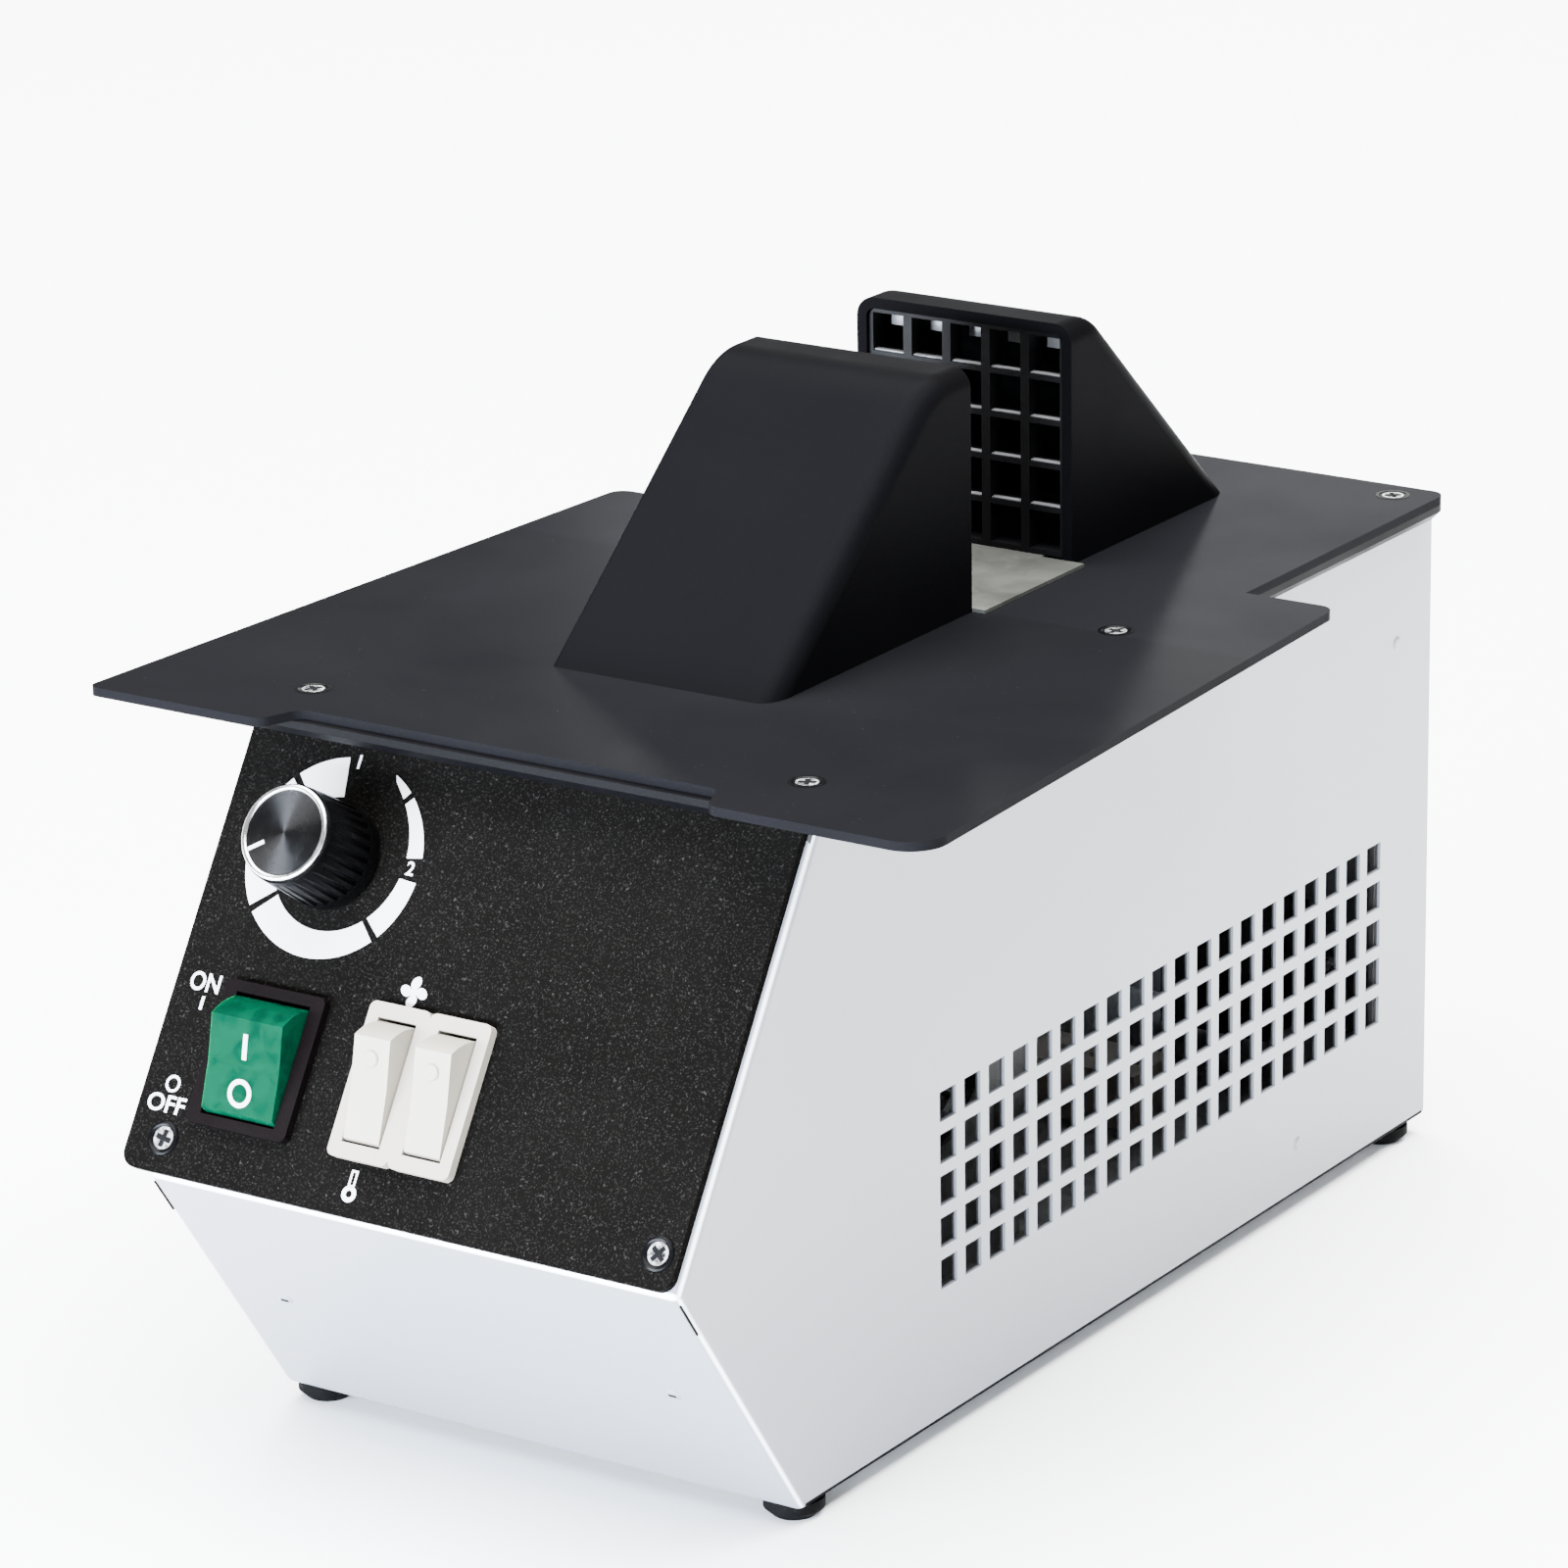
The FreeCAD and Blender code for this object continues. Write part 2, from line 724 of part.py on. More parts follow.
def both_sides(inner, outer, low, high):
    """Return two rectangles, mirrored about the sketch's upright axis."""
    return [box(inner, outer, low, high), box(f"-({outer})", f"-({inner})", low, high)]


def pick(items, kind, test):
    """Return the names of the edges or faces that pass a test."""
    return [f"{kind}{index}" for index, item in enumerate(items, start=1) if test(item)]


def same(first, second):
    """Tell whether two lengths agree."""
    return abs(first - second) < 1e-4


def spans(edge):
    """Return how far an edge runs along x, y and z."""
    frame = edge.BoundBox
    return frame.XLength, frame.YLength, frame.ZLength


def upright_at(*spots):
    """Return a test for vertical edges that stand at one of the (x, y) spots."""
    places = [(value(across), value(along)) for across, along in spots]

    def test(edge):
        length_x, length_y, length_z = spans(edge)
        if length_x > TOLERANCE or length_y > TOLERANCE or length_z < TOLERANCE:
            return False
        start = edge.Vertexes[0].Point
        return any(same(start.x, x) and same(start.y, y) for x, y in places)

    return test


def rim_of(radius, level):
    """Return a test for round edges of one radius that lie at one height."""
    size = value(radius)
    height = value(level)

    def test(edge):
        if not isinstance(edge.Curve, Part.Circle):
            return False
        return same(edge.Curve.Radius, size) and same(edge.CenterOfMass.z, height)

    return test


def place(feature, base, turn=None):
    """Give a feature its placement, bound to the sheet."""
    angle = value(turn) if turn else 0
    feature.Placement = Placement(point(*base), Rotation(Vector(1, 0, 0), angle))
    for axis, formula in zip("xyz", base):
        feature.setExpression(f"Placement.Base.{axis}", expr(formula))
    if turn:
        feature.setExpression("Placement.Rotation.Angle", expr(turn))


def group(label, solids, base=CASE, turn=None):
    """Store identical solids as one labelled feature."""
    feature = DOC.addObject("Part::Feature", label)
    feature.Label = label
    feature.Shape = Part.makeCompound(solids)
    place(feature, base, turn)
    PIECES.append(feature)
    return feature


def turned(profile):
    """Revolve a profile of (radius, height) formulas about the z axis."""
    corners = [point(radius, "0", height) for radius, height in profile]
    face = Part.Face(Part.makePolygon(corners + corners[:1]))
    return face.revolve(Vector(), Vector(0, 0, 1), 360)


def cross_slot(radius, top, width="screw_slot_width", depth="screw_slot_depth"):
    """Return the tool that cuts a cross recess into a screw head."""
    reach = value(radius)
    bar = value(width)
    deep = value(depth)
    floor = value(top) - deep
    tall = deep + value("cut_margin")
    along = Part.makeBox(reach, bar, tall, Vector(-reach / 2, -bar / 2, floor))
    across = Part.makeBox(bar, reach, tall, Vector(-bar / 2, -reach / 2, floor))
    return along.fuse(across)


def flush_screw(radius, head_radius, length):
    """Return a countersunk screw whose head lies level with z = 0."""
    cone = f"{head_radius} - {radius}"
    profile = [
        ("0", "0"),
        (head_radius, "0"),
        (radius, f"-({cone})"),
        (radius, f"-{length}"),
        ("0", f"-{length}"),
    ]
    return turned(profile).cut(cross_slot(f"{head_radius} * screw_slot_share", "0"))


def round_screw(radius, head_radius, head_height, length):
    """Return a pan-head screw whose head stands on z = 0."""
    profile = [
        ("0", head_height),
        (f"{head_radius} * head_crown_share", head_height),
        (head_radius, f"{head_height} * head_edge_share"),
        (head_radius, "0"),
        (radius, "0"),
        (radius, f"-{length}"),
        ("0", f"-{length}"),
    ]
    return turned(profile).cut(cross_slot(f"{head_radius} * screw_slot_share", head_height))


def moved(solid, across, along, up, axis=Vector(0, 0, 1)):
    """Return a copy of a solid with its z axis turned to an axis and moved to a spot."""
    copy = solid.copy()
    copy.Placement = Placement(point(across, along, up), Rotation(Vector(0, 0, 1), axis))
    return copy


# ---------------------------------------------------------------- casing


def cross_fold(edge):
    """Tell whether an edge is one of the folds that run across the casing's front."""
    folds = (("0", "bend_z"), ("slope_top_y", "case_top"), ("undercut", "case_bottom"))
    middle = edge.CenterOfMass
    across = spans(edge)[0] > value("case_half")
    return across and any(same(middle.y, value(y)) and same(middle.z, value(z)) for y, z in folds)


def slanted_fold(edge):
    """Tell whether an edge is one of the slanted folds at the sides of the casing's front."""
    across, along, up = spans(edge)
    return across < TOLERANCE and min(along, up) > value("cut_margin")


def make_casing_shell():
    """Painted sheet casing with its folded flanges, window and vent holes."""
    piece = Piece("casing_shell")
    outer = [
        ("undercut", "case_bottom"),
        ("case_depth", "case_bottom"),
        ("case_depth", "case_top"),
        ("slope_top_y", "case_top"),
        ("0", "bend_z"),
    ]
    piece.pad(piece.outline("YZ_Plane", [outer]), "case_width", SYMMETRIC)
    piece.fillet("bend_radius", cross_fold)
    piece.fillet("fold_radius", slanted_fold)
    bend_y = "case_wall * slope_slant + inner_bend_drop * slope_run"
    inner = [
        ("undercut + case_wall * under_slant", "case_bottom"),
        ("undercut + case_wall * under_slant", "case_bottom - cut_margin"),
        ("case_depth + cut_margin", "case_bottom - cut_margin"),
        ("case_depth + cut_margin", "case_top - case_wall"),
        ("case_wall * slope_slant + slope_top_y - case_wall * slope_run", "case_top - case_wall"),
        (bend_y, "bend_z + inner_bend_drop"),
    ]
    piece.pocket(piece.outline("YZ_Plane", [inner]), "2 * inner_half", SYMMETRIC)
    opening_half = "inner_half - top_flange"
    mouth = box(
        f"-({opening_half})",
        opening_half,
        "slope_top_y + top_flange",
        "case_depth + cut_margin",
    )
    piece.pocket(piece.outline("XY_Plane", [mouth], "case_top"), "case_wall")
    window = box(
        "window_left_inset - case_half",
        "case_half - window_right_inset",
        "window_low_z",
        "window_high_z",
    )
    piece.pocket(piece.outline("XZ_Plane", [window], "cut_margin"), "slope_top_y + 2 * cut_margin")
    cut_vents(piece)
    cut_rivet_holes(piece, [("low_rivet_y", "case_bottom + low_rivet_rise"),
                            ("high_rivet_y", "case_bottom + high_rivet_rise")])
    drill_front_rivets(piece)
    radius = "plate_screw_radius + fit_gap"
    flange_holes = piece.circles("XY_Plane", plate_screw_spots(), radius, "case_top")
    piece.pocket(flange_holes, "case_wall")
    for across, along in panel_screw_spots():
        start = (
            across,
            f"{along} * sin(front_lean) + cut_margin * cos(front_lean)",
            f"bend_z + {along} * cos(front_lean) - cut_margin * sin(front_lean)",
        )
        piece.drill(start, "slope_turn", "panel_screw_radius + fit_gap", "2 * cut_margin")


def cut_vents(piece):
    """Cut the grid of vent holes through both sides."""
    left = "vent_start - vent_length / 2"
    right = "vent_start + vent_length / 2"
    rows = []
    for row in range(SIZES["vent_rows"]):
        middle = f"case_bottom + vent_top - {row} * vent_rise"
        rows.append(box(left, right, f"{middle} - vent_height / 2", f"{middle} + vent_height / 2"))
    sketch = piece.outline("YZ_Plane", rows)
    column = piece.pocket(sketch, "case_width + cut_margin", SYMMETRIC)
    piece.repeat(column, sketch, "H_Axis", "vent_pitch", "vent_columns")


def cut_rivet_holes(piece, spots):
    """Cut rivet holes through both sides at the (y, z) spots."""
    sketch = piece.circles("YZ_Plane", spots, "rivet_radius + fit_gap")
    piece.pocket(sketch, "case_width + cut_margin", SYMMETRIC)


def front_rivet_spot(side):
    """Return the place of a front rivet on the undercut face, on one side."""
    along = "front_rivet_drop / under_slant"
    return (f"{side} * front_rivet_x", f"{along} * under_run", f"bend_z - {along}")


def drill_front_rivets(piece):
    """Drill the two rivet holes square to the undercut front."""
    for side in (-1, 1):
        across, along, up = front_rivet_spot(side)
        lead = "2 * cut_margin / under_slant"
        start = (across, f"{along} + {lead}", f"{up} + {lead} * under_run")
        piece.drill(start, "90 + under_lean", "rivet_radius + fit_gap", "cut_margin * 4")


def make_base_tray():
    """Bottom pan with folded edges, riveted inside the casing."""
    piece = Piece("base_tray")
    profile = [
        ("tray_toe", "case_bottom"),
        ("tray_heel", "case_bottom"),
        ("tray_heel", "case_bottom + tray_lip"),
        ("tray_heel - tray_wall", "case_bottom + tray_lip"),
        ("tray_heel - tray_wall", "tray_top"),
        ("tray_toe + tray_wall * (under_slant - under_run)", "tray_top"),
        ("tray_toe - tray_front * under_run + tray_wall * under_slant", "case_bottom + tray_front"),
        ("tray_toe - tray_front * under_run", "case_bottom + tray_front"),
    ]
    piece.pad(piece.outline("YZ_Plane", [profile]), "2 * tray_half", SYMMETRIC)
    lips = both_sides("tray_half - tray_wall", "tray_half", "tray_toe + tray_wall", "tray_heel")
    piece.pad(piece.outline("XY_Plane", lips, "case_bottom"), "tray_lip")
    feet = [(f"{side} * foot_x", y) for side in (-1, 1) for y in ("foot_front", "foot_rear")]
    holes = piece.circles("XY_Plane", feet, "foot_screw_radius + fit_gap", "tray_top")
    piece.pocket(holes, "tray_wall + cut_margin")
    cut_rivet_holes(piece, [("low_rivet_y", "case_bottom + low_rivet_rise")])
    drill_front_rivets(piece)
    cut_back_holes(piece, "case_depth")


def cut_back_holes(piece, face):
    """Cut the holes for the two screws that hold the back panel."""
    spots = [(f"{side} * back_screw_x", "case_bottom + back_screw_rise") for side in (-1, 1)]
    sketch = piece.circles("XZ_Plane", spots, "back_screw_radius + fit_gap", f"-({face})")
    piece.pocket(sketch, "back_flange", reverse=True)


def make_back_panel():
    """Flat back with two side flanges and the cut-out of the mains inlet."""
    piece = Piece("back_panel")
    sheet = box("-tray_half", "tray_half", "case_bottom", "back_top")
    piece.pad(piece.outline("XZ_Plane", [sheet], "-case_depth"), "case_wall")
    flange_bottom = "case_bottom + tray_lip + fit_gap"
    flanges = both_sides("tray_half - case_wall", "tray_half", flange_bottom, "back_top")
    piece.pad(piece.outline("XZ_Plane", flanges, "-(case_depth - case_wall)"), "back_flange")
    low = "case_bottom + inlet_rise - inlet_body_height / 2 - fit_gap"
    high = "case_bottom + inlet_rise + inlet_body_height / 2 + fit_gap"
    left = "inlet_x - inlet_body_half - fit_gap"
    right = "inlet_x + inlet_body_half + fit_gap"
    hole = piece.outline("XZ_Plane", [box(left, right, low, high)], "-(case_depth + cut_margin)")
    piece.pocket(hole, "case_wall + 2 * cut_margin", reverse=True)
    spots = [(f"inlet_x + {side} * inlet_screw_x", "case_bottom + inlet_rise") for side in (-1, 1)]
    holes = piece.circles("XZ_Plane", spots, "back_screw_radius + fit_gap", "-(case_depth + cut_margin)")
    piece.pocket(holes, "case_wall + 2 * cut_margin", reverse=True)
    cut_back_holes(piece, "case_depth")
    cut_rivet_holes(piece, [("high_rivet_y", "case_bottom + high_rivet_rise")])


def make_rivets():
    """Flush rivets that join the casing to the tray and the back panel."""
    length = "case_wall + fit_gap + tray_wall + rivet_tail"
    profile = [
        ("0", "rivet_head_height"),
        ("rivet_crown_radius", "rivet_head_height"),
        ("rivet_head_radius", "0"),
        ("rivet_radius", "0"),
        ("rivet_radius", f"-({length})"),
        ("0", f"-({length})"),
    ]
    rivet = turned(profile)
    spots = (
        ("low_rivet_y", "case_bottom + low_rivet_rise"),
        ("high_rivet_y", "case_bottom + high_rivet_rise"),
    )
    sides = [
        moved(rivet, f"{side} * case_width / 2", y, z, Vector(side, 0, 0))
        for side in (-1, 1)
        for y, z in spots
    ]
    group("side_rivets", sides)
    outward = Vector(0, -1, -value("under_run"))
    group("front_rivets", [moved(rivet, *front_rivet_spot(side), outward) for side in (-1, 1)])


def make_back_screws():
    """Two pan-head screws through the back panel into the tray."""
    screw = round_screw(
        "back_screw_radius",
        "back_screw_head_radius",
        "back_screw_head_height",
        "back_screw_length",
    )
    rise = "case_bottom + back_screw_rise"
    spots = [(f"{side} * back_screw_x", "case_depth", rise) for side in (-1, 1)]
    group("back_screws", [moved(screw, *spot, Vector(0, 1, 0)) for spot in spots])


def make_feet():
    """Four rubber feet with their screws from below."""
    foot = turned([
        ("foot_screw_radius + fit_gap", "foot_recess_depth"),
        ("foot_screw_head_radius + fit_gap", "foot_recess_depth"),
        ("foot_screw_head_radius + fit_gap", "0"),
        ("foot_toe_radius", "0"),
        ("foot_radius", "foot_side_height"),
        ("foot_radius", "foot_height"),
        ("foot_screw_radius + fit_gap", "foot_height"),
    ])
    screw = turned([
        ("0", "foot_recess_depth - foot_screw_head_height"),
        ("foot_screw_head_radius", "foot_recess_depth - foot_screw_head_height"),
        ("foot_screw_head_radius", "foot_recess_depth"),
        ("foot_screw_radius", "foot_recess_depth"),
        ("foot_screw_radius", "foot_recess_depth + foot_screw_length"),
        ("0", "foot_recess_depth + foot_screw_length"),
    ])
    spots = [(f"{side} * foot_x", y, "0") for side in (-1, 1) for y in ("foot_front", "foot_rear")]
    group("feet", [moved(foot, *spot) for spot in spots])
    group("foot_screws", [moved(screw, *spot) for spot in spots])


# ------------------------------------------------- plate, rim and hoods


def plate_screw_spots():
    """Return the (x, y) places of the six plate screws."""
    rows = ("plate_screw_front", "plate_screw_middle", "plate_screw_rear")
    return [(f"{side} * plate_screw_x", row) for side in (-1, 1) for row in rows]


def make_rim_frame():
    """Frame between the casing's top flanges and the plate."""
    piece = Piece("rim_frame")
    half = "rim_half"
    outer = box(f"-{half}", half, "rim_front", "rim_rear")
    opening = box(
        f"-({half} - rim_bar_side)",
        f"{half} - rim_bar_side",
        "rim_front + rim_bar_front",
        "rim_rear - rim_bar_rear",
    )
    piece.pad(piece.outline("XY_Plane", [outer, opening], "case_top"), "rim_thickness")
    corners = [(f"{side} * {half}", y) for side in (-1, 1) for y in ("rim_front", "rim_rear")]
    piece.fillet("rim_corner_radius", upright_at(*corners))
    holes = piece.circles("XY_Plane", plate_screw_spots(), "plate_screw_radius + fit_gap", "rim_top")
    piece.pocket(holes, "rim_thickness + cut_margin")
    floor = value("case_top")
    inner_edge = value(f"{half} - rim_bar_side")
    screw_zone = value("plate_screw_x + plate_screw_head_radius")

    def outer_bottom(edge):
        if spans(edge)[2] > TOLERANCE or not same(edge.CenterOfMass.z, floor):
            return False
        frame = edge.BoundBox
        reach = max(abs(frame.XMin), abs(frame.XMax))
        ends = (value("rim_front"), value("rim_rear"))
        on_end = any(same(frame.YMin, end) and same(frame.YMax, end) for end in ends)
        return on_end or reach > max(inner_edge, screw_zone)

    piece.chamfer("rim_chamfer", outer_bottom)


def make_top_plate():
    """Working plate with wings, a front notch, air openings and screw holes."""
    piece = Piece("top_plate")
    notch_left = "notch_centre - notch_half"
    notch_right = "notch_centre + notch_half"
    notch_back = "plate_front + notch_depth"
    half = "rim_half"
    outline = [
        ("-plate_front_half", "plate_front"),
        (f"{notch_left} - notch_flare", "plate_front"),
        (notch_left, notch_back),
        (notch_right, notch_back),
        (f"{notch_right} + notch_flare", "plate_front"),
        ("plate_front_half", "plate_front"),
        ("wing_rear_half", "wing_rear"),
        (half, "wing_rear"),
        (half, "rim_rear"),
        (f"-{half}", "rim_rear"),
        (f"-{half}", "wing_rear"),
        ("-wing_rear_half", "wing_rear"),
    ]
    openings = [
        box("-air_half", "air_half", "front_air_near", "front_air_far"),
        box("-air_half", "air_half", "rear_air_near", "rear_air_far"),
    ]
    piece.pad(piece.outline("XY_Plane", [outline] + openings, "rim_top"), "plate_thickness")
    piece.fillet("plate_front_radius", upright_at(("plate_front_half", "plate_front")))
    piece.fillet("plate_left_radius", upright_at(("-plate_front_half", "plate_front")))
    piece.fillet("notch_radius", upright_at((notch_left, notch_back), (notch_right, notch_back)))
    lip_ends = (f"{notch_left} - notch_flare", f"{notch_right} + notch_flare")
    piece.fillet("notch_radius", upright_at(*[(across, "plate_front") for across in lip_ends]))
    rear = [(f"{side} * wing_rear_half", "wing_rear") for side in (-1, 1)]
    rear += [(f"{side} * {half}", "rim_rear") for side in (-1, 1)]
    piece.fillet("wing_radius", upright_at(*rear))
    radius = "plate_screw_radius + fit_gap"
    holes = piece.circles("XY_Plane", plate_screw_spots(), radius, "plate_top")
    piece.pocket(holes, "plate_thickness")
    piece.chamfer("plate_screw_head_radius - plate_screw_radius", rim_of(radius, "plate_top"))


def make_plate_screws():
    """Six countersunk screws from the plate into the casing's flanges."""
    screw = flush_screw("plate_screw_radius", "plate_screw_head_radius", "plate_screw_length")
    solids = [moved(screw, across, along, "plate_top") for across, along in plate_screw_spots()]
    group("plate_screws", solids)


def make_wedge(label, side, ends, crown_radius, left_radius, inset="0", margin="0"):
    """Make one wedge with round edges, set in by a wall and run on at its open faces."""
    toe, crest, mouth = ends
    piece = Piece(label, kept=False)
    floor = f"plate_top - {margin}"
    top = f"hood_top - {inset}"
    face = f"{mouth} + {side} * {margin}"
    half = f"hood_width / 2 - {inset}"
    run = f"({crest} - {toe}) / hood_height"
    shift = f"{side} * {inset} * sqrt(1 + {run} * {run})"
    foot = f"{toe} + {shift} - {margin} * {run}"
    crown = f"{crest} + {shift} - {inset} * {run}"
    profile = [(foot, floor), (face, floor), (face, top), (crown, top)]
    piece.pad(piece.outline("YZ_Plane", [profile]), f"2 * ({half})", SYMMETRIC)
    side_x = value(half)
    face_y = value(face)
    floor_z = value(floor)
    crown_spot = point("0", crown, top)

    def crown_edge(edge):
        middle = edge.CenterOfMass
        return spans(edge)[0] > side_x and same(middle.y, crown_spot.y) and same(middle.z, crown_spot.z)

    def side_edge(edge, place):
        frame = edge.BoundBox
        flat = same(frame.XMin, place) and same(frame.XMax, place)
        on_face = same(frame.YMin, face_y) and same(frame.YMax, face_y)
        return flat and not on_face and not same(frame.ZMax, floor_z)

    piece.fillet(f"{crown_radius} - {inset}", crown_edge)
    piece.fillet(f"hood_edge_radius - {inset}", lambda edge: side_edge(edge, side_x))
    piece.fillet(left_radius, lambda edge: side_edge(edge, -side_x))
    return piece


def make_hood(label, side, ends, crown_radius, left_radius):
    """Wedge-shaped hood with its own left edge, open below and at its upright mouth."""
    outside = make_wedge(f"{label}_outside", side, ends, crown_radius, left_radius)
    inner_radius = "hood_edge_radius - hood_wall"
    inner = (crown_radius, inner_radius, "hood_wall", "cut_margin")
    inside = make_wedge(f"{label}_inside", side, ends, *inner)
    hood = DOC.addObject("Part::Cut", label)
    hood.Label = label
    hood.Base = outside.body
    hood.Tool = inside.body
    PIECES.append(hood)


def make_grille(label, start):
    """Air grille that fills a hood's mouth, with one opening per cell."""
    piece = Piece(label)
    frame = box("-grille_half", "grille_half", "grille_bottom", "grille_top")
    piece.pad(piece.outline("XZ_Plane", [frame], f"-({start})"), "grille_depth", reverse=True)
    top = value("grille_top")
    piece.fillet(
        "grille_corner_radius",
        lambda edge: spans(edge)[1] > TOLERANCE and same(edge.BoundBox.ZMin, top),
    )
    left = "-grille_half + grille_border"
    right = f"{left} + grille_step - grille_bar"
    cells = []
    for row in range(SIZES["grille_rows"]):
        low = f"grille_bottom + grille_ledge + {row} * grille_rise"
        high = f"grille_bottom + {row + 1} * grille_rise"
        cells.append(box(left, right, low, high))
    sketch = piece.outline("XZ_Plane", cells, f"-({start})")
    column = piece.pocket(sketch, "grille_depth")
    piece.repeat(column, sketch, "H_Axis", "grille_step", "grille_columns")


def make_gap_floor():
    """Galvanised strip between the hoods, with a tongue under each mouth."""
    piece = Piece("gap_floor")
    near = "front_mouth + fit_gap"
    far = "rear_mouth - fit_gap"
    tongue = "floor_tongue"
    outline = [
        ("-floor_half", near),
        ("-floor_tongue_half", near),
        ("-floor_tongue_half", f"{near} - {tongue}"),
        ("floor_tongue_half", f"{near} - {tongue}"),
        ("floor_tongue_half", near),
        ("floor_half", near),
        ("floor_half", far),
        ("floor_tongue_half", far),
        ("floor_tongue_half", f"{far} + {tongue}"),
        ("-floor_tongue_half", f"{far} + {tongue}"),
        ("-floor_tongue_half", far),
        ("-floor_half", far),
    ]
    piece.pad(piece.outline("XY_Plane", [outline], "plate_top"), "floor_thickness")


# ------------------------------------------------------- air and blower


def make_air_duct():
    """Box under the plate that leads the hot air to both hoods."""
    piece = Piece("air_duct")
    outer = box("-duct_half", "duct_half", "duct_front", "duct_rear")
    piece.pad(piece.outline("XY_Plane", [outer], "duct_bottom"), "duct_height")
    reach = "duct_half + duct_flange"
    wide = box(f"-({reach})", reach, "duct_front", "duct_rear")
    piece.pad(piece.outline("XY_Plane", [wide], "rim_top"), "duct_wall", reverse=True)
    inner = box(
        "-(duct_half - duct_wall)",
        "duct_half - duct_wall",
        "duct_front + duct_wall",
        "duct_rear - duct_wall",
    )
    piece.pocket(piece.outline("XY_Plane", [inner], "rim_top"), "duct_height - duct_wall")
    throat = box(
        "scroll_near + scroll_wall",
        "scroll_far - scroll_wall",
        "blower_y + throat_near",
        "blower_y + throat_far",
    )
    piece.pocket(piece.outline("XY_Plane", [throat], "duct_bottom + 2 * duct_wall"), "4 * duct_wall")


def scroll_loop(near, far, drop, centre_radius, top):
    """Return the corners and the arc of the scroll's outline."""
    corners = [
        (far, "scroll_z"),
        (far, top),
        (near, top),
        (near, f"scroll_z + {drop}"),
    ]
    return corners, {3: ("scroll_y", "scroll_z", centre_radius)}


def make_blower_housing():
    """Sheet-metal scroll with an upward outlet and a round air inlet."""
    piece = Piece("blower_housing", BLOWER)
    corners, arcs = scroll_loop("outlet_near", "outlet_far", "outlet_drop", "scroll_radius", "outlet_top")
    shell = piece.curved("YZ_Plane", corners, arcs, "scroll_near")
    piece.pad(shell, "scroll_far - scroll_near")
    corners, arcs = scroll_loop(
        "throat_near", "throat_far", "throat_drop", "scroll_inner", "outlet_top + cut_margin"
    )
    room = piece.curved("YZ_Plane", corners, arcs, "scroll_near + scroll_wall")
    piece.pocket(room, "scroll_far - scroll_near - 2 * scroll_wall", reverse=True)
    mouth = piece.circles("YZ_Plane", [("0", "0")], "inlet_ring_radius", "scroll_far + cut_margin")
    piece.pocket(mouth, "scroll_wall + 2 * cut_margin")
    hole = piece.circles("YZ_Plane", [("0", "0")], "shaft_hole_radius", "scroll_near + 2 * cut_margin")
    piece.pocket(hole, "4 * cut_margin")
    bolts = [(f"{side} * motor_bolt_y", "0") for side in (-1, 1)]
    holes = piece.circles("YZ_Plane", bolts, "motor_bolt_radius + fit_gap", "scroll_near + scroll_wall")
    piece.pocket(holes, "2 * scroll_wall")


def make_blower_stand():
    """Folded bracket that carries the scroll above the tray."""
    piece = Piece("blower_stand")
    near = "scroll_near - stand_wall - fit_gap"
    far = "scroll_far + stand_wall + fit_gap"
    profile = [
        (near, "tray_top"),
        (far, "tray_top"),
        (far, "tray_top + stand_height"),
        (f"{far} - stand_wall", "tray_top + stand_height"),
        (f"{far} - stand_wall", "tray_top + stand_wall"),
        (f"{near} + stand_wall", "tray_top + stand_wall"),
        (f"{near} + stand_wall", "tray_top + stand_height"),
        (near, "tray_top + stand_height"),
    ]
    start = "blower_y + scroll_y + stand_length / 2"
    piece.pad(piece.outline("XZ_Plane", [profile], f"-({start})"), "stand_length")
    slot = box(
        "-(inlet_ring_radius)",
        "inlet_ring_radius",
        "tray_top + stand_slot_rise",
        "tray_top + stand_height + cut_margin",
    )
    centre = [(f"blower_y + ({across})", up) for across, up in slot]
    cut = piece.outline("YZ_Plane", [centre], "scroll_far - cut_margin")
    piece.pocket(cut, "stand_wall + 3 * cut_margin", reverse=True)


def make_impeller():
    """Drum impeller: back disc, forward blades, end ring and hub."""
    piece = Piece("impeller", BLOWER)
    disc = piece.circles("YZ_Plane", [("0", "0")], "impeller_radius", "impeller_near")
    piece.pad(disc, "impeller_disc")
    hub = piece.circles("YZ_Plane", [("0", "0")], "hub_radius", "impeller_near")
    piece.pad(hub, "hub_length")
    blade = box("blade_inner_radius", "blade_outer_radius", "-blade_thickness / 2", "blade_thickness / 2")
    blade_sketch = piece.outline("YZ_Plane", [blade], "impeller_near")
    vane = piece.pad(blade_sketch, "impeller_far - impeller_near")
    piece.ring(vane, "X_Axis", "blade_count")
    ring = piece.circles("YZ_Plane", [("0", "0")], "impeller_radius", "impeller_far")
    draw_circle(ring, "0", "0", "blade_inner_radius + blade_thickness")
    piece.pad(ring, "impeller_ring", reverse=True)
    bore = piece.circles("YZ_Plane", [("0", "0")], "shaft_radius", "impeller_near - cut_margin")
    piece.pocket(bore, "hub_length + 2 * cut_margin", reverse=True)


def make_motor_shaft():
    """Motor shaft that carries the rotor and the impeller."""
    piece = Piece("motor_shaft", BLOWER)
    rod = piece.circles("YZ_Plane", [("0", "0")], "shaft_radius", "shaft_start")
    piece.pad(rod, "shaft_end - shaft_start")


def make_motor_rotor():
    """Squirrel-cage rotor on the shaft."""
    piece = Piece("motor_rotor", BLOWER)
    core = piece.circles("YZ_Plane", [("0", "0")], "rotor_radius", "stator_near")
    draw_circle(core, "0", "0", "shaft_radius")
    piece.pad(core, "stator_far - stator_near")


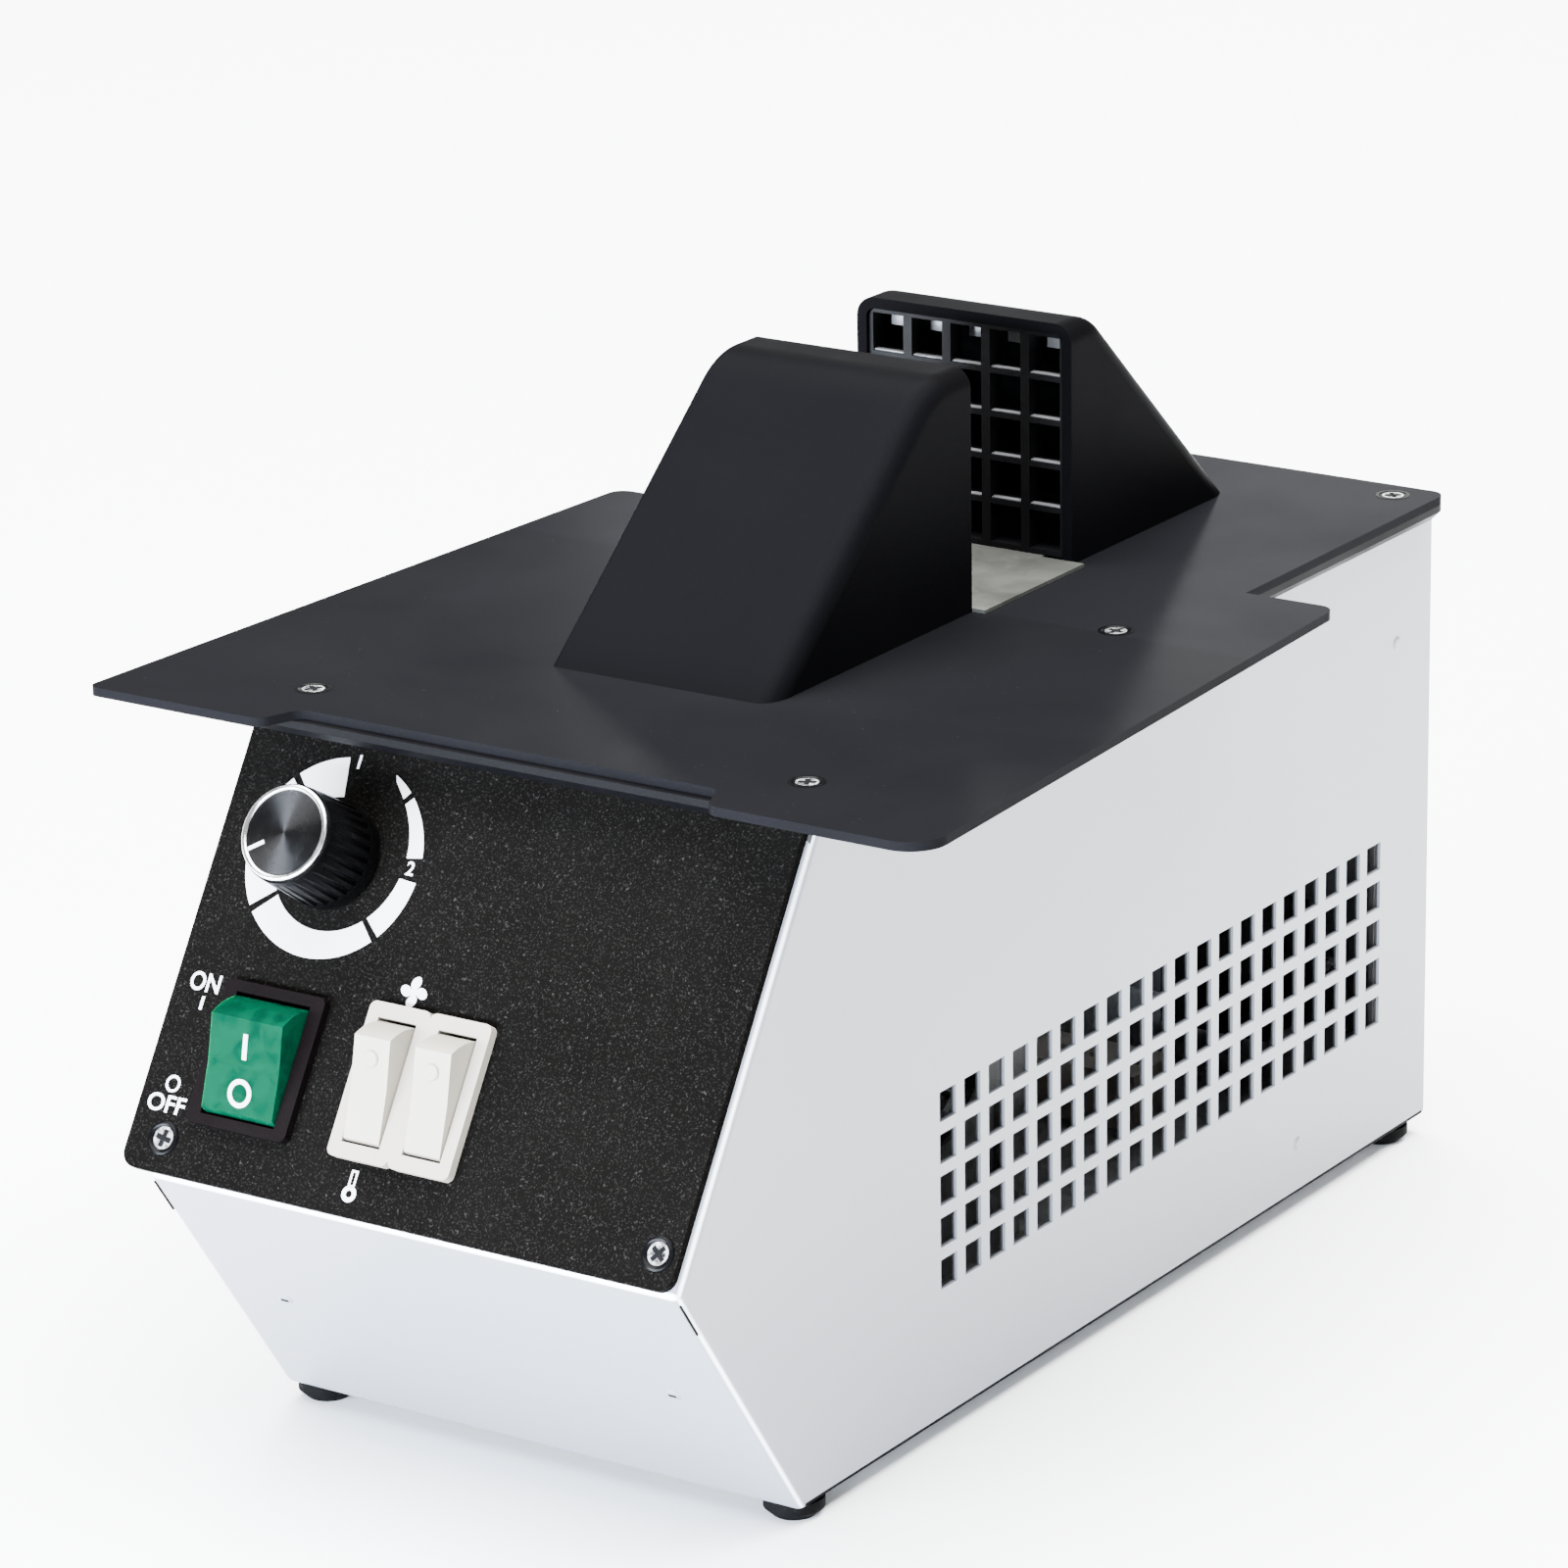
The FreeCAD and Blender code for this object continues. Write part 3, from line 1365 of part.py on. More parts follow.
def make_motor_stator():
    """Laminated stator with its bore, coil window and bolt holes."""
    piece = Piece("motor_stator", BLOWER)
    stack = box("-stator_half", "stator_half", "-stator_bottom", "stator_top")
    window = box("-window_half", "window_half", "-(stator_bottom - yoke_height)", "-window_top")
    sketch = piece.outline("YZ_Plane", [stack, window], "stator_near")
    draw_circle(sketch, "0", "0", "stator_bore_radius")
    for side in (-1, 1):
        draw_circle(sketch, f"{side} * motor_bolt_y", "0", "motor_bolt_radius + fit_gap")
    piece.pad(sketch, "stator_far - stator_near")


def make_motor_coil():
    """Winding around the stator's lower yoke."""
    piece = Piece("motor_coil", BLOWER)
    block = box("-coil_half", "coil_half", "-coil_bottom", "-coil_top")
    piece.pad(
        piece.outline("YZ_Plane", [block], "stator_near - coil_build"),
        "stator_far - stator_near + 2 * coil_build",
    )
    yoke = box(
        "stator_near - fit_gap",
        "stator_far + fit_gap",
        "-(stator_bottom + fit_gap)",
        "-(stator_bottom - yoke_height - fit_gap)",
    )
    piece.pocket(piece.outline("XZ_Plane", [yoke]), "2 * coil_half + cut_margin", SYMMETRIC)


def make_bearing_bracket(label, face, outward, spacers):
    """Strap across the stator with a plain bearing in its middle."""
    piece = Piece(label, BLOWER)
    reverse = outward < 0
    strap = box("-stator_half", "stator_half", "-bracket_half_height", "bracket_half_height")
    piece.pad(piece.outline("YZ_Plane", [strap], face), "bracket_thickness", reverse=reverse)
    hub = piece.circles("YZ_Plane", [("0", "0")], "bearing_radius", face)
    piece.pad(hub, "bracket_thickness + bearing_length", reverse=reverse)
    bolts = [(f"{side} * motor_bolt_y", "0") for side in (-1, 1)]
    if spacers:
        posts = piece.circles("YZ_Plane", bolts, "spacer_radius", face)
        piece.pad(posts, f"scroll_near - ({face})", reverse=reverse)
    start = f"{face} - {outward} * cut_margin"
    depth = "scroll_near - stator_near + 2 * cut_margin"
    bore = piece.circles("YZ_Plane", [("0", "0")], "shaft_radius + running_gap", start)
    piece.pocket(bore, depth, reverse=not reverse)
    holes = piece.circles("YZ_Plane", bolts, "motor_bolt_radius + fit_gap", start)
    piece.pocket(holes, depth, reverse=not reverse)


def make_motor_bolts():
    """Two long bolts that clamp the brackets and the stator to the scroll."""
    length = "scroll_near + scroll_wall + bracket_thickness - stator_near"
    profile = [
        ("0", "-motor_bolt_head_height"),
        ("motor_bolt_head_radius", "-motor_bolt_head_height"),
        ("motor_bolt_head_radius", "0"),
        ("motor_bolt_radius", "0"),
        ("motor_bolt_radius", length),
        ("0", length),
    ]
    bolt = turned(profile)
    start = "stator_near - bracket_thickness"
    solids = [moved(bolt, start, f"{side} * motor_bolt_y", "0", Vector(1, 0, 0)) for side in (-1, 1)]
    group("motor_bolts", solids, BLOWER)


def make_heater_boards():
    """Two mica boards that hold the heating wire across the duct."""
    piece = Piece("heater_boards")
    half = "duct_half - duct_wall - fit_gap"
    low = "duct_bottom + duct_wall"
    board = box(f"-({half})", half, low, f"{low} + board_height")
    for face in ("heater_start", "heater_end + board_thickness"):
        piece.pad(piece.outline("XZ_Plane", [board], f"-({face})"), "board_thickness")


def make_heater_coils():
    """Two levels of heating wire, each folded back and forth between the boards."""
    solids = []
    runs = SIZES["coil_runs"]
    radius = value("coil_spacing / 2")
    near = value("heater_start + fit_gap + coil_radius") + radius
    far = value("heater_end - fit_gap - coil_radius") - radius
    for level in range(2):
        height = value(f"duct_bottom + duct_wall + coil_low + {level} * coil_level")
        edges = []
        for run in range(runs):
            across = value(f"coil_spacing * ({run} - (coil_runs - 1) / 2)")
            start, end = (near, far) if run % 2 == 0 else (far, near)
            corner = Vector(across, end, height)
            edges.append(Part.LineSegment(Vector(across, start, height), corner).toShape())
            if run < runs - 1:
                bulge = end + radius if end == far else end - radius
                middle = Vector(across + radius, bulge, height)
                finish = Vector(across + 2 * radius, end, height)
                edges.append(Part.Arc(corner, middle, finish).toShape())
        path = Part.Wire(edges)
        start = path.OrderedVertexes[0].Point
        section = Part.Wire([Part.Circle(start, Vector(0, 1, 0), value("coil_radius")).toShape()])
        solids.append(path.makePipeShell([section], True, False))
    group("heater_coils", solids)


def make_thermal_cutout():
    """Bimetal cut-out on the side of the duct."""
    piece = Piece("thermal_cutout")
    centre_z = "duct_bottom + cutout_rise"
    flange = box(
        "cutout_y - cutout_flange_half",
        "cutout_y + cutout_flange_half",
        f"{centre_z} - cutout_flange_height",
        f"{centre_z} + cutout_flange_height",
    )
    piece.pad(piece.outline("YZ_Plane", [flange], "duct_half"), "cutout_flange_thickness")
    can = piece.circles("YZ_Plane", [("cutout_y", centre_z)], "cutout_radius", "duct_half")
    piece.pad(can, "cutout_height")


# ------------------------------------------------------------ electrics


def make_control_board():
    """Printed circuit board of the speed control."""
    piece = Piece("control_board")
    board = box("-pcb_half", "pcb_half", "pcb_front", "pcb_front + pcb_length")
    sketch = piece.outline("XY_Plane", [board], "pcb_bottom")
    piece.pad(sketch, "pcb_thickness")


def pcb_corners():
    """Return the (x, y) places of the board's four standoffs."""
    rows = ("pcb_front + pcb_hole_inset", "pcb_front + pcb_length - pcb_hole_inset")
    return [(f"{side} * (pcb_half - pcb_hole_inset)", row) for side in (-1, 1) for row in rows]


def make_board_standoffs():
    """Four posts between the tray and the control board."""
    post = turned([
        ("0", "tray_top"),
        ("standoff_radius", "tray_top"),
        ("standoff_radius", "pcb_bottom"),
        ("0", "pcb_bottom"),
    ])
    group("board_standoffs", [moved(post, across, along, "0") for across, along in pcb_corners()])


def make_heat_sink():
    """Finned heat sink of the triac."""
    piece = Piece("heat_sink")
    left = "sink_x - sink_half"
    low = "pcb_front + sink_offset"
    base = box(left, "sink_x + sink_half", low, f"{low} + sink_base")
    piece.pad(piece.outline("XY_Plane", [base], "pcb_top"), "sink_height")
    fin = box(left, f"{left} + sink_fin", f"{low} + sink_base", f"{low} + sink_depth")
    sketch = piece.outline("XY_Plane", [fin], "pcb_top")
    blade = piece.pad(sketch, "sink_height")
    piece.repeat(blade, sketch, "H_Axis", "(2 * sink_half - sink_fin) / (sink_fins - 1)", "sink_fins")


def make_filter_capacitor():
    """Box capacitor beside the heat sink."""
    piece = Piece("filter_capacitor")
    low = "pcb_front + capacitor_offset"
    left = "capacitor_x - capacitor_half"
    right = "capacitor_x + capacitor_half"
    block = box(left, right, low, f"{low} + capacitor_depth")
    piece.pad(piece.outline("XY_Plane", [block], "pcb_top"), "capacitor_height")


def make_terminal_block():
    """Screw terminal strip on the tray, behind the blower."""
    piece = Piece("terminal_block")
    strip = box(
        "terminal_x",
        "terminal_x + terminal_way * terminal_count",
        "terminal_y",
        "terminal_y + terminal_depth",
    )
    piece.pad(piece.outline("XY_Plane", [strip], "tray_top"), "terminal_height")
    middle = "terminal_y + terminal_depth / 2"
    first = [("terminal_x + terminal_way / 2", middle)]
    sketch = piece.circles("XY_Plane", first, "terminal_hole_radius", "tray_top + terminal_height")
    hole = piece.pocket(sketch, "terminal_hole_depth")
    piece.repeat(hole, sketch, "H_Axis", "terminal_way", "terminal_count")


def inlet_box(half, height, offset="0", across="0"):
    """Return a rectangle about the inlet's centre, moved by offsets."""
    centre = "case_bottom + inlet_rise"
    return box(
        f"inlet_x + {across} - ({half})",
        f"inlet_x + {across} + {half}",
        f"{centre} + {offset} - ({height}) / 2",
        f"{centre} + {offset} + ({height}) / 2",
    )


def make_mains_inlet():
    """Appliance inlet with its flange, socket and three pins."""
    piece = Piece("mains_inlet")
    face = "case_depth + inlet_flange"
    flange = inlet_box("inlet_flange_half", "inlet_flange_height")
    piece.pad(piece.outline("XZ_Plane", [flange], "-case_depth"), "inlet_flange", reverse=True)
    body = inlet_box("inlet_body_half", "inlet_body_height")
    piece.pad(piece.outline("XZ_Plane", [body], "-case_depth"), "inlet_body_depth")
    socket = inlet_box("inlet_socket_half", "inlet_socket_height", "-inlet_socket_offset")
    piece.pocket(piece.outline("XZ_Plane", [socket], f"-({face})"), "inlet_socket_depth", reverse=True)
    low = "-inlet_socket_offset - inlet_pin_offset"
    high = "-inlet_socket_offset + inlet_pin_offset"
    pins = [
        inlet_box("inlet_pin_half", "inlet_pin_height", low, f"{side} * inlet_pin_spacing")
        for side in (-1, 1)
    ]
    pins.append(inlet_box("inlet_pin_half", "inlet_pin_height", high))
    foot = f"{face} - inlet_socket_depth"
    piece.pad(piece.outline("XZ_Plane", pins, f"-({foot})"), "inlet_pin_length", reverse=True)
    room = inlet_box("drawer_half + fit_gap", "drawer_height + 2 * fit_gap", "drawer_offset")
    piece.pocket(piece.outline("XZ_Plane", [room], f"-({face})"), "drawer_depth + fit_gap", reverse=True)
    spots = [(f"inlet_x + {side} * inlet_screw_x", "case_bottom + inlet_rise") for side in (-1, 1)]
    holes = piece.circles("XZ_Plane", spots, "back_screw_radius + fit_gap", f"-({face} + cut_margin)")
    piece.pocket(holes, "inlet_flange + 2 * cut_margin", reverse=True)
    rim = value(face)
    size = value("back_screw_radius + fit_gap")
    piece.chamfer(
        "back_screw_head_radius - back_screw_radius",
        lambda edge: isinstance(edge.Curve, Part.Circle)
        and same(edge.Curve.Radius, size)
        and same(edge.CenterOfMass.y, rim),
    )


def make_fuse_drawer():
    """Fuse drawer in the upper part of the inlet, level with its flange."""
    piece = Piece("fuse_drawer")
    front = inlet_box("drawer_half", "drawer_height", "drawer_offset")
    piece.pad(piece.outline("XZ_Plane", [front], "-(case_depth + inlet_flange)"), "drawer_depth")
    grip = inlet_box("grip_half", "grip_height", "drawer_offset")
    face = piece.outline("XZ_Plane", [grip], "-(case_depth + inlet_flange)")
    piece.pocket(face, "grip_depth", reverse=True)


def make_inlet_screws():
    """Two countersunk screws that hold the inlet to the back panel."""
    screw = flush_screw("back_screw_radius", "back_screw_head_radius", "back_screw_length")
    face = "case_depth + inlet_flange"
    spots = [(f"inlet_x + {side} * inlet_screw_x", face, "case_bottom + inlet_rise") for side in (-1, 1)]
    group("inlet_screws", [moved(screw, *spot, Vector(0, 1, 0)) for spot in spots])


# -------------------------------------------------------- control panel


SWITCHES = {"power": ("power", "power_x"), "fan": ("slim", "fan_x"), "heat": ("slim", "heat_x")}


def switch_box(across, along, half, length):
    """Return a rectangle about a switch's centre on the panel."""
    return box(
        f"{across} - ({half})",
        f"{across} + {half}",
        f"{along} - ({length}) / 2",
        f"{along} + ({length}) / 2",
    )


def panel_screw_spots():
    """Return the places of the two panel screws."""
    return [("-panel_screw_left", "panel_screw_height"), ("panel_screw_right", "panel_screw_height")]


def make_control_panel():
    """Textured plate on the sloped front, with the cut-outs of the controls."""
    piece = Piece("control_panel", SLOPE, "slope_turn")
    sheet = box("-panel_left", "panel_right", "panel_foot", "panel_top_s")
    holes = [
        switch_box(
            across,
            f"{family}_s",
            f"{family}_bezel_half - switch_shoulder + fit_gap",
            f"{family}_bezel_length - 2 * (switch_shoulder - fit_gap)",
        )
        for family, across in SWITCHES.values()
    ]
    sketch = piece.outline("XY_Plane", [sheet] + holes)
    draw_circle(sketch, "dial_x", "dial_s", "bushing_radius + fit_gap")
    piece.pad(sketch, "panel_thickness")
    corners = [("-panel_left", "panel_foot"), ("panel_right", "panel_foot")]
    piece.fillet("panel_corner_radius", upright_at(*corners))
    radius = "panel_screw_radius + fit_gap"
    screws = piece.circles("XY_Plane", panel_screw_spots(), radius, "panel_face")
    piece.pocket(screws, "panel_thickness")
    piece.chamfer("panel_screw_head_radius - panel_screw_radius", rim_of(radius, "panel_face"))


def make_panel_screws():
    """Two countersunk screws at the lower corners of the panel."""
    screw = flush_screw("panel_screw_radius", "panel_screw_head_radius", "panel_screw_length")
    solids = [moved(screw, across, along, "panel_face") for across, along in panel_screw_spots()]
    group("panel_screws", solids, SLOPE, "slope_turn")


def make_switch(label, family, across):
    """Switch body with its bezel, rocker cavity, trunnion holes and blade tabs."""
    along = f"{family}_s"
    bezel_half = f"{family}_bezel_half"
    bezel_length = f"{family}_bezel_length"
    rocker_half = f"{family}_rocker_half"
    piece = Piece(label, SLOPE, "slope_turn")
    bezel = switch_box(across, along, bezel_half, bezel_length)
    piece.pad(piece.outline("XY_Plane", [bezel], "panel_face"), "bezel_height")
    corners = [(bezel[index][0], bezel[index][1]) for index in range(4)]
    piece.fillet("bezel_corner_radius", upright_at(*corners))
    body_half = f"{bezel_half} - switch_shoulder"
    body = switch_box(across, along, body_half, f"{bezel_length} - 2 * switch_shoulder")
    piece.pad(piece.outline("XY_Plane", [body], "panel_face"), "panel_face + switch_depth", reverse=True)
    room_length = f"2 * ({family}_rocker_radius + loose_gap)"
    room = switch_box(across, along, f"{rocker_half} + loose_gap", room_length)
    piece.pocket(piece.outline("XY_Plane", [room], "bezel_face"), "cavity_depth")
    pivot = (along, f"{family}_pivot_n")
    pins = piece.circles("YZ_Plane", [pivot], "trunnion_radius + running_gap", across)
    piece.pocket(pins, f"2 * ({body_half}) + cut_margin", SYMMETRIC)
    tabs = [
        switch_box(across, f"{along} + {side} * blade_tab_spacing", "blade_tab_half", "blade_tab_thickness")
        for side in (-1, 0, 1)
    ]
    piece.pad(piece.outline("XY_Plane", tabs, "-switch_depth"), "blade_tab_length", reverse=True)


def make_rocker(label, family, across):
    """Rocker with two faces that meet in the middle and round ends about its pivot."""
    piece = Piece(label, (across, f"{family}_pivot_y", f"{family}_pivot_z"), "slope_turn + rocker_tilt")
    radius = f"{family}_rocker_radius"
    reach = f"{radius} * sin({family}_rocker_span)"
    height = f"{radius} * cos({family}_rocker_span)"
    tail_reach = f"{radius} * cos(rocker_tail)"
    tail_height = f"{radius} * sin(rocker_tail)"
    corners = [
        (f"-({tail_reach})", f"-({tail_height})"),
        ("-rocker_root_half", "-rocker_root_depth"),
        ("rocker_root_half", "-rocker_root_depth"),
        (tail_reach, f"-({tail_height})"),
        (reach, height),
        ("0", f"{height} - rocker_sag"),
        (f"-({reach})", height),
    ]
    arcs = {3: ("0", "0", radius), 6: ("0", "0", radius)}
    sketch = piece.curved("YZ_Plane", corners, arcs)
    piece.pad(sketch, f"2 * {family}_rocker_half", SYMMETRIC)
    pins = piece.circles("YZ_Plane", [("0", "0")], "trunnion_radius")
    piece.pad(pins, f"2 * ({family}_rocker_half + loose_gap + trunnion_length)", SYMMETRIC)


DIAL = ("dial_x", "dial_y", "dial_z")


def make_knob():
    """Fluted knob with a recess over the nut and a bore for the shaft."""
    piece = Piece("knob", DIAL, "slope_turn")
    profile = [
        ("0", "knob_foot"),
        ("knob_radius", "knob_foot"),
        ("knob_radius", "knob_foot + knob_skirt"),
        ("knob_top_radius", "knob_crown"),
        ("0", "knob_crown"),
    ]
    piece.turn(piece.outline("XZ_Plane", [profile]), "Z_Axis")
    recess = piece.circles("XY_Plane", [("0", "0")], "knob_recess_radius", "knob_foot")
    piece.pocket(recess, "knob_recess_depth", reverse=True)
    bore = piece.circles("XY_Plane", [("0", "0")], "control_shaft_radius", "knob_foot")
    piece.pocket(bore, "knob_bore_depth", reverse=True)
    sketch = piece.circles("XY_Plane", [("knob_radius", "0")], "flute_radius", "knob_foot + knob_skirt")
    flute = piece.pocket(sketch, "knob_height - knob_skirt", reverse=True)
    piece.ring(flute, "Z_Axis", "flute_count")


def make_knob_cap():
    """Metal disc with a raised ring, set on top of the knob."""
    piece = Piece("knob_cap", DIAL, "slope_turn")
    disc = piece.circles("XY_Plane", [("0", "0")], "cap_radius", "knob_crown")
    piece.pad(disc, "cap_height")
    dish = piece.circles("XY_Plane", [("0", "0")], "cap_radius - cap_height", "knob_crown + cap_height")
    piece.pocket(dish, "cap_dish")


def make_control_shaft():
    """Shaft of the potentiometer, with a flat inside the knob."""
    piece = Piece("control_shaft", DIAL, "slope_turn")
    top = "knob_foot + knob_bore_depth - control_shaft_play"
    rod = piece.circles("XY_Plane", [("0", "0")], "control_shaft_radius", "-control_shaft_seat")
    piece.pad(rod, f"{top} + control_shaft_seat")
    flat = box(
        "-2 * control_shaft_radius",
        "2 * control_shaft_radius",
        "control_shaft_radius - control_shaft_flat",
        "2 * control_shaft_radius",
    )
    piece.pocket(piece.outline("XY_Plane", [flat], top), f"{top} - bushing_top")


def make_potentiometer():
    """Potentiometer behind the panel, with its bushing through it."""
    piece = Piece("potentiometer", DIAL, "slope_turn")
    can = piece.circles("XY_Plane", [("0", "0")], "pot_radius")
    piece.pad(can, "pot_depth", reverse=True)
    neck = piece.circles("XY_Plane", [("0", "0")], "bushing_radius")
    piece.pad(neck, "bushing_top")
    bore = piece.circles("XY_Plane", [("0", "0")], "control_shaft_radius + running_gap", "bushing_top")
    piece.pocket(bore, "bushing_top + control_shaft_seat + fit_gap")


def make_potentiometer_nut():
    """Hexagon nut that clamps the potentiometer to the panel."""
    piece = Piece("potentiometer_nut", DIAL, "slope_turn")
    corner = "nut_half / cos(30)"
    hexagon = [(f"{corner} * cos({60 * step})", f"{corner} * sin({60 * step})") for step in range(6)]
    sketch = piece.outline("XY_Plane", [hexagon], "panel_face")
    draw_circle(sketch, "0", "0", "bushing_radius + fit_gap")
    piece.pad(sketch, "nut_height")


def make_panel_parts():
    """Everything on the sloped front."""
    make_control_panel()
    make_panel_screws()
    for name, (family, across) in SWITCHES.items():
        make_switch(f"{name}_switch", family, across)
        make_rocker(f"{name}_rocker", family, across)
    make_knob()
    make_knob_cap()
    make_control_shaft()
    make_potentiometer()
    make_potentiometer_nut()


def make_blower_parts():
    """Blower, motor, heater and duct."""
    make_air_duct()
    make_blower_housing()
    make_blower_stand()
    make_impeller()
    make_motor_shaft()
    make_motor_rotor()
    make_motor_stator()
    make_motor_coil()
    make_bearing_bracket("front_bearing_bracket", "stator_far", 1, spacers=True)
    make_bearing_bracket("rear_bearing_bracket", "stator_near", -1, spacers=False)
    make_motor_bolts()
    make_heater_boards()
    make_heater_coils()
    make_thermal_cutout()


def make_electric_parts():
    """Control board, terminals and mains inlet."""
    make_control_board()
    make_board_standoffs()
    make_heat_sink()
    make_filter_capacitor()
    make_terminal_block()
    make_mains_inlet()
    make_fuse_drawer()
    make_inlet_screws()


def make_case_parts():
    """Casing, tray, back, feet, plate and hoods."""
    make_casing_shell()
    make_base_tray()
    make_back_panel()
    make_rivets()
    make_back_screws()
    make_feet()
    make_rim_frame()
    make_top_plate()
    make_plate_screws()
    make_hood("front_hood", 1, FRONT_HOOD, "front_crown_radius", "hood_crisp_radius")
    make_hood("rear_hood", -1, REAR_HOOD, "rear_crown_radius", "hood_edge_radius")
    make_grille("front_grille", "front_mouth - grille_recess - grille_depth")
    make_grille("rear_grille", "rear_mouth + grille_recess")
    make_gap_floor()


def check_document():
    """Stop if any object failed or any piece has no sound shape."""
    DOC.recompute()
    for item in DOC.Objects:
        if "Invalid" in item.State or "Error" in item.State:
            raise RuntimeError(f"{item.Label} did not recompute")
    for item in PIECES:
        if item.Shape.isNull() or not item.Shape.isValid():
            raise RuntimeError(f"{item.Label} has no valid shape")


def write_steps():
    """Write each piece to its own STEP file."""
    os.makedirs("parts", exist_ok=True)
    for item in PIECES:
        item.Shape.exportStep(f"parts/{item.Label}.step")


fill_sheet()
make_case_parts()
make_blower_parts()
make_electric_parts()
make_panel_parts()
check_document()
write_steps()
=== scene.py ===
"""Looks of the eyeglass frame warmer: finishes for its carried parts and the small pieces that dress them."""

import logging
import math
from dataclasses import dataclass, field
from enum import Enum
from functools import cache
from typing import Iterable, Mapping, Sequence

import bpy
from mathutils import Matrix, Vector


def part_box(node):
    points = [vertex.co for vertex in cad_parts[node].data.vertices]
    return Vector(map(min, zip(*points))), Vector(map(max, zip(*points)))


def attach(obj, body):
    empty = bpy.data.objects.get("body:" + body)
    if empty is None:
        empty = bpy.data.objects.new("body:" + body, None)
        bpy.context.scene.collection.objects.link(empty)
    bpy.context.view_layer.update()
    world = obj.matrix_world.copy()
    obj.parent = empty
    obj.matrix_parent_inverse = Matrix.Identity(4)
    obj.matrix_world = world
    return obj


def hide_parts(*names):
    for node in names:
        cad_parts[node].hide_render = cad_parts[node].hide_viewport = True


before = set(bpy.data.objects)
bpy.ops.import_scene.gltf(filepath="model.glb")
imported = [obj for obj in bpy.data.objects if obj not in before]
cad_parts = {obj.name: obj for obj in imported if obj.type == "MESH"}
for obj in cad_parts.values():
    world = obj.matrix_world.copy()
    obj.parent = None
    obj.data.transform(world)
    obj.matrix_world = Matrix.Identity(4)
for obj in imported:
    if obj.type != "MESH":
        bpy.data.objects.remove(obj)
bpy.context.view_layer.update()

Piece = bpy.types.Object
Node = bpy.types.Node
Socket = bpy.types.NodeSocket
Skin = tuple[Socket, Socket]
Colour = tuple[float, float, float]
Point = tuple[float, float, float]
Flat = tuple[float, float]

LOG = logging.getLogger("frame_warmer")
MM = 0.001
FULL_TURN = 2.0 * math.pi
SMOOTH_ANGLE = math.radians(35.0)
ORIGIN: Point = (0.0, 0.0, 0.0)
UPRIGHT: Point = (0.0, 0.0, 1.0)
WELD = 0.001 * MM
PRINT_WELD = 0.0001 * MM
INK = 0.06 * MM
BEVEL_STEPS = 2
RING_FACETS = 48
FONT_WEIGHT = 0.018
FONT_DEPTH = 0.01
FONT_STEPS = 6


class Body(Enum):
    """The moving groups that a piece can ride on."""

    CHASSIS = "chassis"
    KNOB = "knob"
    POWER = "power_rocker"
    FAN = "fan_rocker"
    HEAT = "heat_rocker"


class Lettering(Enum):
    """The generic characters that are printed on the control panel."""

    ONE = "1"
    TWO = "2"
    ON = "ON"
    OFF = "OFF"


# ---------------------------------------------------------------- modelling steps


def deselect_all() -> None:
    """Leave nothing selected in object mode."""
    if bpy.context.mode != "OBJECT":
        bpy.ops.object.mode_set(mode="OBJECT")
    bpy.ops.object.select_all(action="DESELECT")


def focus(piece: Piece) -> None:
    """Make one object the only selected and active one.

    Args:
        piece: The object to work on.
    """
    deselect_all()
    piece.select_set(True)
    bpy.context.view_layer.objects.active = piece


def adopt(name: str) -> Piece:
    """Name the object that an operator has just added.

    Args:
        name: The piece's name.

    Returns:
        The new object.
    """
    piece = bpy.context.active_object
    piece.name = name
    piece.data.name = name
    return piece


def edit(piece: Piece) -> None:
    """Open one mesh for editing with all of it selected.

    Args:
        piece: The mesh object.
    """
    focus(piece)
    bpy.ops.object.mode_set(mode="EDIT")
    bpy.ops.mesh.select_all(action="SELECT")


def close() -> None:
    """Return from editing to object mode."""
    bpy.ops.object.mode_set(mode="OBJECT")


def turn_about(angle: float, centre: Point = ORIGIN) -> None:
    """Turn the selected part of the edited mesh about an upright axis.

    Args:
        angle: The turn in radians.
        centre: A point on the axis.
    """
    bpy.ops.transform.rotate(value=angle, orient_axis="Z", orient_type="GLOBAL", center_override=centre)


def thicken(height: float) -> None:
    """Raise the whole edited mesh into walls.

    Args:
        height: The walls' height.
    """
    bpy.ops.mesh.select_all(action="SELECT")
    bpy.ops.mesh.extrude_region_move(TRANSFORM_OT_translate={"value": (0.0, 0.0, height)})


def turned(piece: Piece, angle: float) -> Piece:
    """Turn a whole piece about the model's own Z axis, within its mesh.

    Args:
        piece: The mesh object.
        angle: The turn in radians.

    Returns:
        The same object in object mode.
    """
    edit(piece)
    turn_about(angle)
    close()
    return piece


def soften(piece: Piece, width: float) -> None:
    """Round the sharp edges of a piece.

    Args:
        piece: The mesh object.
        width: Width of the rounding in metres.
    """
    focus(piece)
    bevel = piece.modifiers.new("Bevel", "BEVEL")
    bevel.width = width
    bevel.segments = BEVEL_STEPS
    bevel.limit_method = "ANGLE"
    bpy.ops.object.modifier_apply(modifier=bevel.name)


def seat(piece: Piece, place: Matrix) -> None:
    """Move a finished piece to its place, with the place kept in its mesh.

    Args:
        piece: The mesh object, modelled about the world's origin.
        place: Turns the model's own axes into the row frame.
    """
    focus(piece)
    bpy.ops.object.transform_apply(location=True, rotation=True, scale=True)
    piece.matrix_world = place
    bpy.ops.object.transform_apply(location=True, rotation=True, scale=True)
    bpy.ops.object.shade_smooth_by_angle(angle=SMOOTH_ANGLE)


